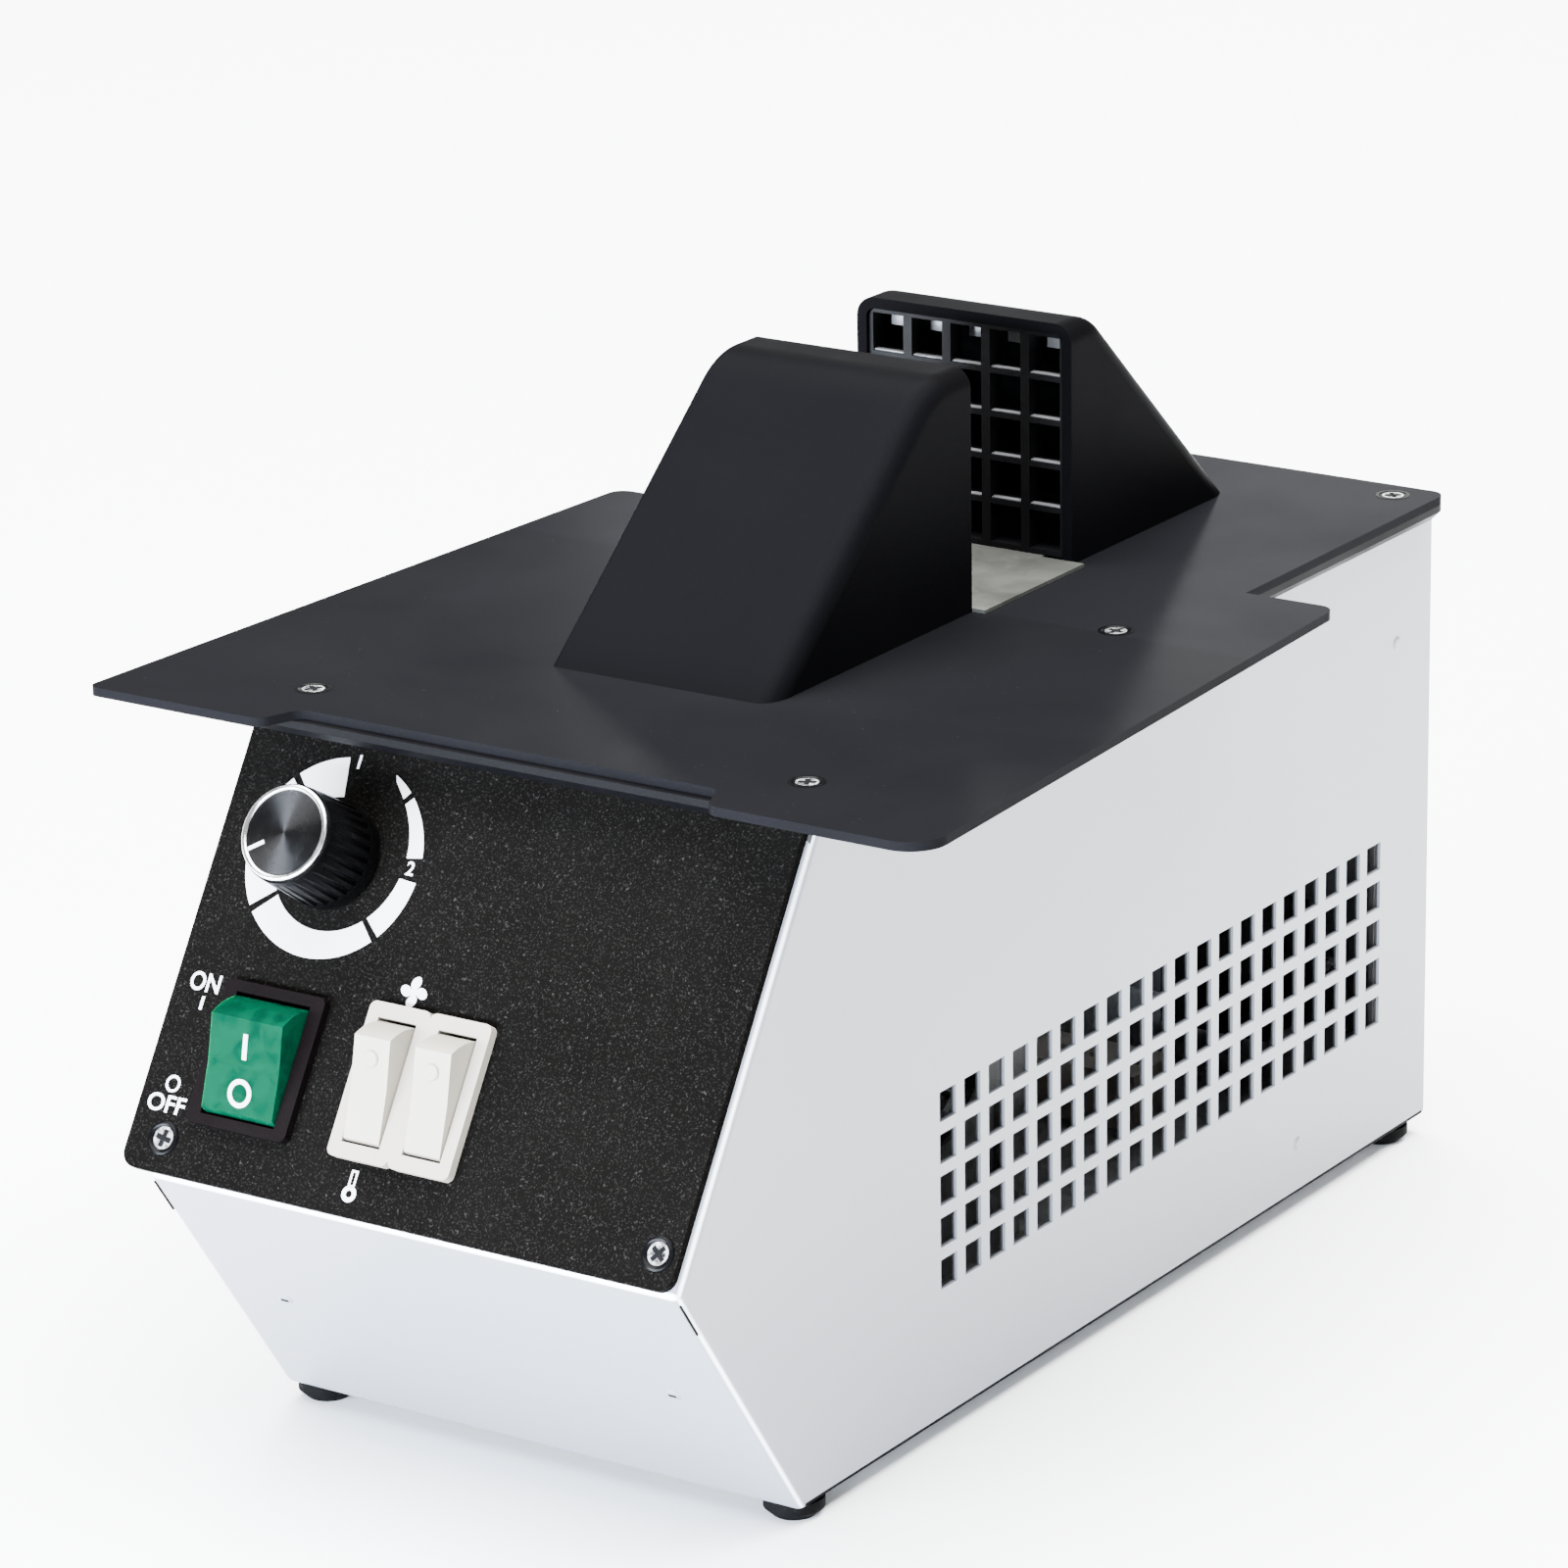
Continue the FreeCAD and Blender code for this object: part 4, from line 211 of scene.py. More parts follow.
def close_up(piece: Piece) -> Piece:
    """Finish an edited mesh: merge its doubled points and turn all faces outwards.

    Args:
        piece: The mesh object.

    Returns:
        The same object in object mode.
    """
    close()
    edit(piece)
    bpy.ops.mesh.remove_doubles(threshold=WELD)
    bpy.ops.mesh.normals_make_consistent(inside=False)
    close()
    return piece


def draw_chain(name: str, points: Sequence[Vector]) -> Piece:
    """Draw a line point by point, left open for editing with all of it selected.

    Args:
        name: The piece's name.
        points: The line's points, of which the last may be the first again.

    Returns:
        The new object in edit mode.
    """
    deselect_all()
    bpy.ops.mesh.primitive_plane_add(size=MM, location=ORIGIN)
    piece = adopt(name)
    edit(piece)
    bpy.ops.mesh.merge(type="CENTER")
    bpy.ops.mesh.select_mode(type="VERT")
    bpy.ops.mesh.select_all(action="SELECT")
    bpy.ops.transform.translate(value=tuple(points[0]))
    for near, far in zip(points, points[1:]):
        bpy.ops.mesh.extrude_vertices_move(TRANSFORM_OT_translate={"value": tuple(far - near)})
    bpy.ops.mesh.select_all(action="SELECT")
    bpy.ops.mesh.remove_doubles(threshold=WELD)
    bpy.ops.mesh.select_all(action="SELECT")
    return piece


def lathe(name: str, profile: Sequence[Flat], steps: int, closed: bool = False) -> Piece:
    """Turn a profile about the model's own Z axis.

    Args:
        name: The piece's name.
        profile: Radius and height of each point, in metres.
        steps: Number of facets round the turn.
        closed: Whether the profile ends where it starts.

    Returns:
        The closed, turned piece.
    """
    points = [Vector((radius, 0.0, height)) for radius, height in profile]
    piece = draw_chain(name, points + points[:1] if closed else points)
    bpy.ops.mesh.spin(steps=steps, angle=FULL_TURN, center=ORIGIN, axis=UPRIGHT)
    return close_up(piece)


def slab(name: str, size: Point, middle: Point, rounding: float) -> Piece:
    """Make a block with softened edges.

    Args:
        name: The piece's name.
        size: Full lengths along the three axes.
        middle: Centre of the block.
        rounding: Width of the rounding along its edges.

    Returns:
        The new block.
    """
    deselect_all()
    bpy.ops.mesh.primitive_cube_add(size=1.0, location=middle, scale=size)
    piece = adopt(name)
    bpy.ops.object.transform_apply(location=True, rotation=True, scale=True)
    soften(piece, rounding)
    return piece


def merge_pieces(name: str, pieces: Sequence[Piece]) -> Piece:
    """Join several meshes into one piece.

    Args:
        name: Name of the joined piece.
        pieces: The meshes to join.

    Returns:
        The joined object.
    """
    focus(pieces[0])
    for piece in pieces[1:]:
        piece.select_set(True)
    bpy.ops.object.join()
    return adopt(name)


def flat_print(name: str, outline: Sequence[Vector]) -> Piece:
    """Print a flat shape from its outline.

    Args:
        name: The piece's name.
        outline: The points round the shape.

    Returns:
        The printed shape.
    """
    piece = draw_chain(name, [*outline, outline[0]])
    bpy.ops.mesh.edge_face_add()
    bpy.ops.mesh.extrude_region_move(TRANSFORM_OT_translate={"value": (0.0, 0.0, INK)})
    return close_up(piece)


def flat_ring(name: str, radii: Flat, thickness: float) -> Piece:
    """Make a flat ring about the model's own Z axis.

    Args:
        name: The piece's name.
        radii: Inner and outer radius.
        thickness: Height above the model's own ground plane.

    Returns:
        The ring.
    """
    inner, outer = radii
    profile = [(inner, 0.0), (outer, 0.0), (outer, thickness), (inner, thickness)]
    return lathe(name, profile, RING_FACETS, closed=True)


def print_text(name: str, letters: Lettering, height: float, width: float = 0.0) -> Piece:
    """Print characters about the model's own origin.

    Args:
        name: The piece's name.
        letters: The characters.
        height: Height of the capitals.
        width: Full width of the word, or 0 to keep the font's own.

    Returns:
        The characters as a mesh.
    """
    deselect_all()
    bpy.ops.object.text_add(location=ORIGIN)
    text = bpy.context.active_object
    text.data.body = letters.value
    text.data.size = 1.0
    text.data.offset = FONT_WEIGHT
    text.data.extrude = FONT_DEPTH
    text.data.resolution_u = FONT_STEPS
    bpy.ops.object.convert(target="MESH")
    piece = adopt(name)
    corners = [Vector(corner) for corner in piece.bound_box]
    low = Vector([min(corner[axis] for corner in corners) for axis in range(3)])
    high = Vector([max(corner[axis] for corner in corners) for axis in range(3)])
    tall = height / (high.y - low.y)
    wide = width / (high.x - low.x) if width else tall
    middle = (low + high) / 2
    edit(piece)
    bpy.ops.transform.translate(value=(-middle.x, -middle.y, -low.z))
    bpy.ops.transform.resize(value=(wide, tall, INK / (high.z - low.z)), center_override=ORIGIN)
    bpy.ops.mesh.remove_doubles(threshold=PRINT_WELD)
    close()
    return piece


# ---------------------------------------------------------------- places


PANEL_LEAN = math.radians(32.0)
UNDER_LEAN = -math.atan2(43.7, 62.0)
PANEL_FOOT = 0.5 * MM
PANEL_FACE = 2.0 * MM
CASE_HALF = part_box("casing_shell")[1].x
BEND_Z = 66.0 * MM
BEND_Y = (
    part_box("control_panel")[0].y - PANEL_FOOT * math.sin(PANEL_LEAN) + PANEL_FACE * math.cos(PANEL_LEAN)
)
DIAL_SPOT: Flat = (-42.8 * MM, 72.384 * MM)


@dataclass(frozen=True)
class SheetPlace:
    """Axes of one sloped front face: x to the right, y up the slope from the bend, z out of the sheet."""

    lean: float

    def at(self, x: float, s: float, n: float, tilt: float = 0.0) -> Matrix:
        """Place of a spot near the sheet.

        Args:
            x: Distance to the right of the middle.
            s: Distance up the slope from the bend.
            n: Height above the sheet's outer face.
            tilt: Turn about X beyond the sheet's own slope, in radians.

        Returns:
            The matrix from a model's own axes to the row frame.
        """
        y = BEND_Y + s * math.sin(self.lean) - n * math.cos(self.lean)
        z = BEND_Z + s * math.cos(self.lean) + n * math.sin(self.lean)
        turn = Matrix.Rotation(math.pi / 2 - self.lean + tilt, 4, "X")
        return Matrix.Translation((x, y, z)) @ turn


PANEL = SheetPlace(PANEL_LEAN)
UNDER = SheetPlace(UNDER_LEAN)


# ---------------------------------------------------------------- shared effects


class Wiring:
    """Adds nodes to one tree and links them."""

    def __init__(self, tree: bpy.types.NodeTree) -> None:
        """Keep the tree.

        Args:
            tree: The tree that the nodes go into.
        """
        self.tree = tree

    def fill(self, node: Node, feeds: Mapping[str | int, object]) -> Node:
        """Link or set a node's inputs.

        Args:
            node: The node.
            feeds: A socket or a plain value for each input, by name or number.

        Returns:
            The same node.
        """
        for slot, value in feeds.items():
            if isinstance(value, Socket):
                self.tree.links.new(value, node.inputs[slot])
            else:
                node.inputs[slot].default_value = value
        return node

    def node(self, kind: str, feeds: Mapping[str | int, object], **settings: object) -> Node:
        """Add a node.

        Args:
            kind: Blender's name of the node type.
            feeds: A socket or a plain value for each input, by name or number.
            settings: Values for the node's properties.

        Returns:
            The new node.
        """
        made = self.tree.nodes.new(kind)
        for key, wanted in settings.items():
            setattr(made, key, wanted)
        return self.fill(made, feeds)

    def maths(self, how: str, first: object, second: object, clamp: bool = False) -> Socket:
        """Add a maths node.

        Args:
            how: Blender's name of the operation.
            first: A socket or a number.
            second: A socket or a number.
            clamp: Whether the result stays from 0 to 1.

        Returns:
            The result's socket.
        """
        return self.node("ShaderNodeMath", {0: first, 1: second}, operation=how, use_clamp=clamp).outputs[0]

    def axis(self, vector: Socket, name: str) -> Socket:
        """Return one coordinate of a vector."""
        return self.node("ShaderNodeSeparateXYZ", {0: vector}).outputs[name]

    def noise(self, vector: Socket, scale: object, **feeds: float) -> Socket:
        """Add a cloudy noise.

        Args:
            vector: The coordinates that it follows.
            scale: A socket or a number.
            feeds: Its other inputs.

        Returns:
            The noise's socket, from 0 to 1.
        """
        return self.node("ShaderNodeTexNoise", {"Vector": vector, "Scale": scale, **feeds}).outputs["Fac"]


class Effect(Wiring):
    """A node group that several finishes share."""

    title = "effect"
    takes: tuple[str, ...] = ()
    gives: tuple[str, ...] = ()

    def __init__(self) -> None:
        """Make the group with its inputs, its nodes and its outputs."""
        super().__init__(bpy.data.node_groups.new(self.title, "ShaderNodeTree"))
        sockets = [("Vector", "INPUT", "NodeSocketVector")]
        sockets += [(name, "INPUT", "NodeSocketFloat") for name in self.takes]
        sockets += [(name, "OUTPUT", "NodeSocketFloat") for name in self.gives]
        for name, side, kind in sockets:
            self.tree.interface.new_socket(name=name, in_out=side, socket_type=kind)
        given = self.node("NodeGroupInput", {}).outputs
        self.node("NodeGroupOutput", dict(zip(self.gives, self.results(given))))

    def results(self, given: Mapping[str, Socket]) -> Sequence[Socket]:
        """Add the group's own nodes.

        Args:
            given: The group's input sockets.

        Returns:
            One socket for each of the group's outputs.
        """
        raise NotImplementedError


class Grain(Effect):
    """Fine grain, soft clouds and scattered specks over a surface."""

    title = "surface_grain"
    takes = ("Fine Scale", "Cloud Scale", "Speck Scale", "Speck Level")
    gives = ("Fine", "Cloud", "Speck")
    speck_contrast = 9.0

    def results(self, given: Mapping[str, Socket]) -> Sequence[Socket]:
        """Add a fine noise, a broad noise and a speck mask."""
        fine = self.noise(given["Vector"], given["Fine Scale"], Detail=3.0, Roughness=0.6)
        cloud = self.noise(given["Vector"], given["Cloud Scale"], Detail=4.0, Distortion=0.4)
        speck = self.noise(given["Vector"], given["Speck Scale"], Detail=1.0)
        raised = self.maths("SUBTRACT", speck, given["Speck Level"])
        return fine, cloud, self.maths("MULTIPLY", raised, self.speck_contrast, clamp=True)


class Brushing(Effect):
    """Long scratches of drawn or brushed metal along one axis."""

    title = "brushed_lines"
    takes = ("Line Scale",)
    gives = ("Lines",)

    def results(self, given: Mapping[str, Socket]) -> Sequence[Socket]:
        """Add a noise that is stretched by the mapped vector."""
        return [self.noise(given["Vector"], given["Line Scale"], Detail=5.0, Roughness=0.7)]


class Dust(Effect):
    """Dust that has settled low down and in patches."""

    title = "settled_dust"
    takes = ("Floor", "Reach", "Amount")
    gives = ("Dust",)
    patch_scale = 140.0

    def results(self, given: Mapping[str, Socket]) -> Sequence[Socket]:
        """Mix a height fade with a patchy noise."""
        above = self.maths("SUBTRACT", self.axis(given["Vector"], "Z"), given["Floor"])
        share = self.maths("DIVIDE", above, given["Reach"], clamp=True)
        low = self.maths("SUBTRACT", 1.0, share, clamp=True)
        patched = self.maths("MULTIPLY", low, self.noise(given["Vector"], self.patch_scale, Detail=5.0))
        return [self.maths("MULTIPLY", patched, given["Amount"])]


class Rings(Effect):
    """Fine turned grooves about the vector's own Z axis."""

    title = "turned_grooves"
    takes = ("Ring Scale",)
    gives = ("Grooves",)

    def results(self, given: Mapping[str, Socket]) -> Sequence[Socket]:
        """Add rings whose pitch is set by a scale."""
        feeds = {"Vector": given["Vector"], "Scale": given["Ring Scale"]}
        feeds |= {"Distortion": 0.35, "Detail": 2.0, "Detail Scale": 0.6}
        rings = {"wave_type": "RINGS", "rings_direction": "Z", "wave_profile": "SIN"}
        return [self.node("ShaderNodeTexWave", feeds, **rings).outputs["Fac"]]


class Bands(Effect):
    """Even stripes along one axis, for stacked sheets and wire turns."""

    title = "even_bands"
    takes = ("Band Scale",)
    gives = ("Bands",)

    def results(self, given: Mapping[str, Socket]) -> Sequence[Socket]:
        """Add straight bands with a little waviness."""
        feeds = {"Vector": given["Vector"], "Scale": given["Band Scale"], "Distortion": 0.8, "Detail": 1.0}
        bands = {"wave_type": "BANDS", "bands_direction": "X", "wave_profile": "SIN"}
        return [self.node("ShaderNodeTexWave", feeds, **bands).outputs["Fac"]]


@cache
def shared_group(kind: type[Effect]) -> bpy.types.NodeTree:
    """Return the node group of one effect.

    Args:
        kind: The effect's class.

    Returns:
        Its node group, built at first use.
    """
    return kind().tree


class Painter(Wiring):
    """Adds the nodes of one material."""

    def __init__(self, tree: bpy.types.NodeTree) -> None:
        """Find the shader and add the object coordinates.

        Args:
            tree: The material's node tree.
        """
        super().__init__(tree)
        self.shader = tree.nodes["Principled BSDF"]
        self.place = self.node("ShaderNodeTexCoord", {}).outputs["Object"]

    def effect(self, kind: type[Effect], vector: Socket, feeds: Mapping[str, float]) -> Mapping[str, Socket]:
        """Place a shared effect.

        Args:
            kind: The effect's class.
            vector: The coordinates that it follows.
            feeds: A value for each of its other inputs.

        Returns:
            The effect's output sockets.
        """
        group = shared_group(kind)
        return self.node("ShaderNodeGroup", {"Vector": vector, **feeds}, node_tree=group).outputs

    def blend(self, share: Socket, first: object, second: object) -> Socket:
        """Mix two colours.

        Args:
            share: How much of the second shows.
            first: A colour or a socket.
            second: A colour or a socket.

        Returns:
            The mixed colour's socket.
        """
        made = self.node("ShaderNodeMix", {"Factor": share}, data_type="RGBA")
        slots = [number for number, item in enumerate(made.inputs) if item.type == "RGBA"]
        colours = [(*value, 1.0) if isinstance(value, tuple) else value for value in (first, second)]
        self.fill(made, dict(zip(slots, colours)))
        return next(item for item in made.outputs if item.type == "RGBA")

    def spread(self, source: Socket, start: float, end: float, low: float, high: float) -> Socket:
        """Stretch a value from one range to another.

        Args:
            source: The value's socket.
            start: Start of the first range.
            end: End of the first range.
            low: Start of the second range.
            high: End of the second range.

        Returns:
            The stretched value's socket.
        """
        feeds = {"Value": source, "From Min": start, "From Max": end, "To Min": low, "To Max": high}
        return self.node("ShaderNodeMapRange", feeds).outputs["Result"]

    def mapped(self, place: Matrix) -> Socket:
        """Return coordinates in the axes of a place in the row frame.

        Args:
            place: Matrix from those axes to the row frame.

        Returns:
            The mapped coordinates' socket.
        """
        back = place.inverted()
        feeds = {"Vector": self.place, "Rotation": back.to_euler("XYZ"), "Location": back.to_translation()}
        return self.node("ShaderNodeMapping", feeds).outputs["Vector"]

    def relief(self, height: Socket, depth: float) -> Socket:
        """Turn a height into a relief.

        Args:
            height: The height's socket, from 0 to 1.
            depth: The relief's real depth in metres.

        Returns:
            The relief's normal.
        """
        feeds = {"Height": height, "Distance": depth, "Strength": 1.0}
        return self.node("ShaderNodeBump", feeds).outputs["Normal"]


# ---------------------------------------------------------------- finishes


COAT_ROUGHNESS = 0.12
NOISE_RANGE: Flat = (0.3, 0.7)
ROUGHNESS_RANGE: Flat = (0.03, 1.0)
WAVE_LENGTH = 0.314  # between two crests of a wave texture whose scale is 1


@dataclass(frozen=True)
class Finish:
    """A surface whose colour, roughness and grain change a little from place to place."""

    title: str
    colour: Colour
    drift: Colour
    speck: Colour
    roughness: float = 0.5
    unevenness: float = 0.12
    metallic: float = 0.0
    coat: float = 0.0
    specular: float = 0.3
    fine_size: float = 0.6 * MM
    cloud_size: float = 30.0 * MM
    speck_size: float = 2.0 * MM
    speck_level: float = 0.72
    relief: float = 0.02 * MM

    def material(self) -> bpy.types.Material:
        """Build the finish.

        Returns:
            A new material.
        """
        made = bpy.data.materials.new(self.title)
        made.use_nodes = True
        painter = Painter(made.node_tree)
        feeds = {"Fine Scale": 1.0 / self.fine_size, "Cloud Scale": 1.0 / self.cloud_size}
        feeds |= {"Speck Scale": 1.0 / self.speck_size, "Speck Level": self.speck_level}
        grain = painter.effect(Grain, painter.place, feeds)
        drifted = painter.blend(grain["Cloud"], self.colour, self.drift)
        speckled = painter.blend(grain["Speck"], drifted, self.speck)
        colour, height = self.pattern(painter, grain["Fine"], speckled)
        low = max(self.roughness - self.unevenness, ROUGHNESS_RANGE[0])
        high = min(self.roughness + self.unevenness, ROUGHNESS_RANGE[1])
        looks = {
            "Metallic": self.metallic,
            "Coat Weight": self.coat,
            "Coat Roughness": COAT_ROUGHNESS,
            "Specular IOR Level": self.specular,
            "Base Color": colour,
            "Roughness": painter.spread(grain["Cloud"], *NOISE_RANGE, low, high),
            "Normal": painter.relief(height, self.relief),
        }
        painter.fill(painter.shader, looks | self.extras())
        return made

    def pattern(self, painter: Painter, fine: Socket, colour: Socket) -> Skin:
        """Return the surface's colour and the height of its relief.

        Args:
            painter: Adds nodes to the material.
            fine: The fine grain, from 0 to 1.
            colour: The colour so far.

        Returns:
            Sockets of the final colour and height.
        """
        return colour, fine

    def extras(self) -> dict[str, object]:
        """Return the shader values that only some finishes have."""
        return {}


@dataclass(frozen=True)
class SheetPaint(Finish):
    """Smooth light paint on bent sheet, with a little grime near the bench, a painted highlight along the
    folds and painted shade on the inner faces.
    """

    grime: Colour = (0.165, 0.17, 0.182)
    grime_floor: float = 3.0 * MM
    grime_reach: float = 26.0 * MM
    grime_amount: float = 0.35
    # Painted shade: near-black colour on the sheet's inner faces, standing in for the shade inside the casing
    # that shows through the vents.
    bare: Colour = (0.03, 0.031, 0.033)
    inner_x: float = 65.8 * MM
    inner_y: float = -105.0 * MM
    # Painted highlight: near-white colour along the bend and the slanted side folds, standing in for the
    # light that the rounded folds catch.
    fold_highlight: Colour = (0.88, 0.89, 0.91)
    fold_highlight_reach: float = 1.1 * MM

    def pattern(self, painter: Painter, fine: Socket, colour: Socket) -> Skin:
        """Add grime low down, paint a highlight along the folds and paint shade on the inner faces."""
        feeds = {"Floor": self.grime_floor, "Reach": self.grime_reach, "Amount": self.grime_amount}
        dust = painter.effect(Dust, painter.place, feeds)["Dust"]
        painted = painter.blend(dust, colour, self.grime)
        # Painted shade: inside the side walls and behind the front the colour turns near-black.
        across = painter.maths("ABSOLUTE", painter.axis(painter.place, "X"), 0.0)
        within = painter.maths("LESS_THAN", across, self.inner_x)
        behind = painter.maths("GREATER_THAN", painter.axis(painter.place, "Y"), self.inner_y)
        inside = painter.maths("MULTIPLY", within, behind)
        # Painted highlight: the colour turns near-white beside the folds.
        highlighted = painter.blend(self.fold_highlight_mask(painter, across), painted, self.fold_highlight)
        return painter.blend(inside, highlighted, self.bare), fine

    def fold_highlight_mask(self, painter: Painter, across: Socket) -> Socket:
        """Mask of the painted highlight on the strips beside the bend and the slanted side folds.

        Args:
            painter: Adds nodes to the material.
            across: Distance from the casing's middle plane.

        Returns:
            The mask's socket.
        """
        start, end = -self.fold_highlight_reach, -self.fold_highlight_reach / 2
        heights = [painter.axis(painter.mapped(sheet.at(0.0, 0.0, 0.0)), "Z") for sheet in (PANEL, UNDER)]
        upper, lower = (painter.spread(height, start, end, 0.0, 1.0) for height in heights)
        side = painter.spread(across, CASE_HALF + start, CASE_HALF + end, 0.0, 1.0)
        front = painter.maths("MAXIMUM", upper, lower)
        bend = painter.maths("MULTIPLY", upper, lower)
        return painter.maths("MAXIMUM", bend, painter.maths("MULTIPLY", side, front))


@dataclass(frozen=True)
class PlatePaint(Finish):
    """Matt black plate whose rear part is a shade lighter than its front."""

    rear: Colour = (0.0040, 0.0041, 0.0048)
    line_y: float = 19.5 * MM
    line_fall: float = 0.02
    line_width: float = 0.8 * MM

    def pattern(self, painter: Painter, fine: Socket, colour: Socket) -> Skin:
        """Lighten the plate behind a slightly slanted line."""
        fall = painter.maths("MULTIPLY", painter.axis(painter.place, "X"), self.line_fall)
        line = painter.maths("SUBTRACT", self.line_y, fall)
        past = painter.maths("SUBTRACT", painter.axis(painter.place, "Y"), line)
        beyond = painter.maths("DIVIDE", past, self.line_width, clamp=True)
        return painter.blend(beyond, colour, self.rear), fine


@dataclass(frozen=True)
class WrinklePaint(Finish):
    """Black paint with a coarse raised texture and a painted highlight on the tops of its beads."""

    # Painted highlight: lighter colour on the beads' tops, standing in for the light that they catch.
    top: Colour = (0.0072, 0.0067, 0.0063)
    bead_highlight_range: Flat = (0.30, 0.54)
    bead_size: float = 0.5 * MM
    bead_softness: float = 0.7

    def pattern(self, painter: Painter, fine: Socket, colour: Socket) -> Skin:
        """Raise small beads over the paint and paint a highlight on their tops."""
        feeds = {"Vector": painter.place, "Scale": 1.0 / self.bead_size, "Smoothness": self.bead_softness}
        beads = painter.node("ShaderNodeTexVoronoi", feeds, feature="SMOOTH_F1")
        dome = painter.maths("SUBTRACT", 1.0, beads.outputs["Distance"], clamp=True)
        mixed = painter.maths("MULTIPLY", dome, fine)
        lit = painter.spread(mixed, *self.bead_highlight_range, 0.0, 1.0)
        return painter.blend(lit, colour, self.top), mixed


@dataclass(frozen=True)
class SpunMetal(Finish):
    """Metal or paint turned on a lathe, with fine grooves about the dial's axis."""

    groove: float = 0.16 * MM

    def pattern(self, painter: Painter, fine: Socket, colour: Socket) -> Skin:
        """Cut the grooves in the axes of the dial."""
        feeds = {"Ring Scale": WAVE_LENGTH / self.groove}
        return colour, painter.effect(Rings, painter.mapped(PANEL.at(*DIAL_SPOT, 0.0)), feeds)["Grooves"]


@dataclass(frozen=True)
class BrushedMetal(Finish):
    """Drawn or brushed metal with long fine scratches."""

    stretch: Point = (1.0, 1.0, 0.06)

    def pattern(self, painter: Painter, fine: Socket, colour: Socket) -> Skin:
        """Scratch the surface along the axis that is stretched."""
        feeds = {"Vector": painter.place, "Scale": self.stretch}
        along = painter.node("ShaderNodeMapping", feeds).outputs["Vector"]
        lines = painter.effect(Brushing, along, {"Line Scale": 1.0 / self.fine_size})["Lines"]
        return painter.blend(painter.spread(lines, *NOISE_RANGE, 0.0, 1.0), colour, self.drift), lines


@dataclass(frozen=True)
class Spangle(Finish):
    """Galvanised sheet with dull crystals."""

    crystal: Colour = (0.056, 0.058, 0.052)
    crystal_size: float = 5.0 * MM

    def pattern(self, painter: Painter, fine: Socket, colour: Socket) -> Skin:
        """Give each crystal a tone of its own."""
        feeds = {"Vector": painter.place, "Scale": 1.0 / self.crystal_size}
        tone = painter.axis(painter.node("ShaderNodeTexVoronoi", feeds).outputs["Color"], "X")
        return painter.blend(tone, colour, self.crystal), fine


@dataclass(frozen=True)
class Layered(Finish):
    """Stacked sheets or neighbouring turns of wire."""

    pitch: float = 0.8 * MM
    shade: Colour = (0.08, 0.08, 0.09)
    turn: float = 0.0
    joint_width: float = 0.35

    def pattern(self, painter: Painter, fine: Socket, colour: Socket) -> Skin:
        """Darken the joints between the layers."""
        along = painter.mapped(Matrix.Rotation(self.turn, 4, "Z"))
        bands = painter.effect(Bands, along, {"Band Scale": WAVE_LENGTH / self.pitch})["Bands"]
        joint = painter.spread(bands, 0.0, self.joint_width, 1.0, 0.0)
        return painter.blend(joint, colour, self.shade), bands


@dataclass(frozen=True)
class CircuitBoard(Finish):
    """Solder mask over copper tracks, with bright pads."""

    track: Colour = (0.10, 0.34, 0.16)
    track_scale: float = 170.0
    track_gap: float = 0.06
    pad: Colour = (0.72, 0.70, 0.64)
    pad_scale: float = 210.0
    pad_scatter: float = 0.25
    pad_edge: Flat = (0.2, 0.24)

    def pattern(self, painter: Painter, fine: Socket, colour: Socket) -> Skin:
        """Lay tracks and pads on the board."""
        feeds = {"Vector": painter.place, "Scale": self.track_scale, "Mortar Size": self.track_gap}
        tracks = painter.node("ShaderNodeTexBrick", feeds).outputs["Fac"]
        feeds = {"Vector": painter.place, "Scale": self.pad_scale, "Randomness": self.pad_scatter}
        pads = painter.node("ShaderNodeTexVoronoi", feeds).outputs["Distance"]
        tracked = painter.blend(tracks, colour, self.track)
        return painter.blend(painter.spread(pads, *self.pad_edge, 1.0, 0.0), tracked, self.pad), tracks


@dataclass(frozen=True)
class LensPlastic(Finish):
    """Clear tinted plastic with cloudy streaks."""

    depth: Colour = (0.0, 0.011, 0.0055)
    streak_scale: float = 130.0
    streak_range: Flat = (0.46, 0.66)
    streak_share: float = 0.75
    glow: float = 0.35
    glow_tint: Colour = (0.2, 1.0, 0.5)
    glow_reach: float = 2.0 * MM

    def pattern(self, painter: Painter, fine: Socket, colour: Socket) -> Skin:
        """Streak the plastic with darker tint."""
        streaks = painter.noise(painter.place, self.streak_scale, Detail=4.0, Distortion=1.6)
        dark = painter.spread(streaks, *self.streak_range, 0.0, self.streak_share)
        return painter.blend(dark, colour, self.depth), fine

    def extras(self) -> dict[str, object]:
        """Let a little light into the plastic."""
        return {
            "Subsurface Weight": self.glow,
            "Subsurface Radius": self.glow_tint,
            "Subsurface Scale": self.glow_reach,
        }


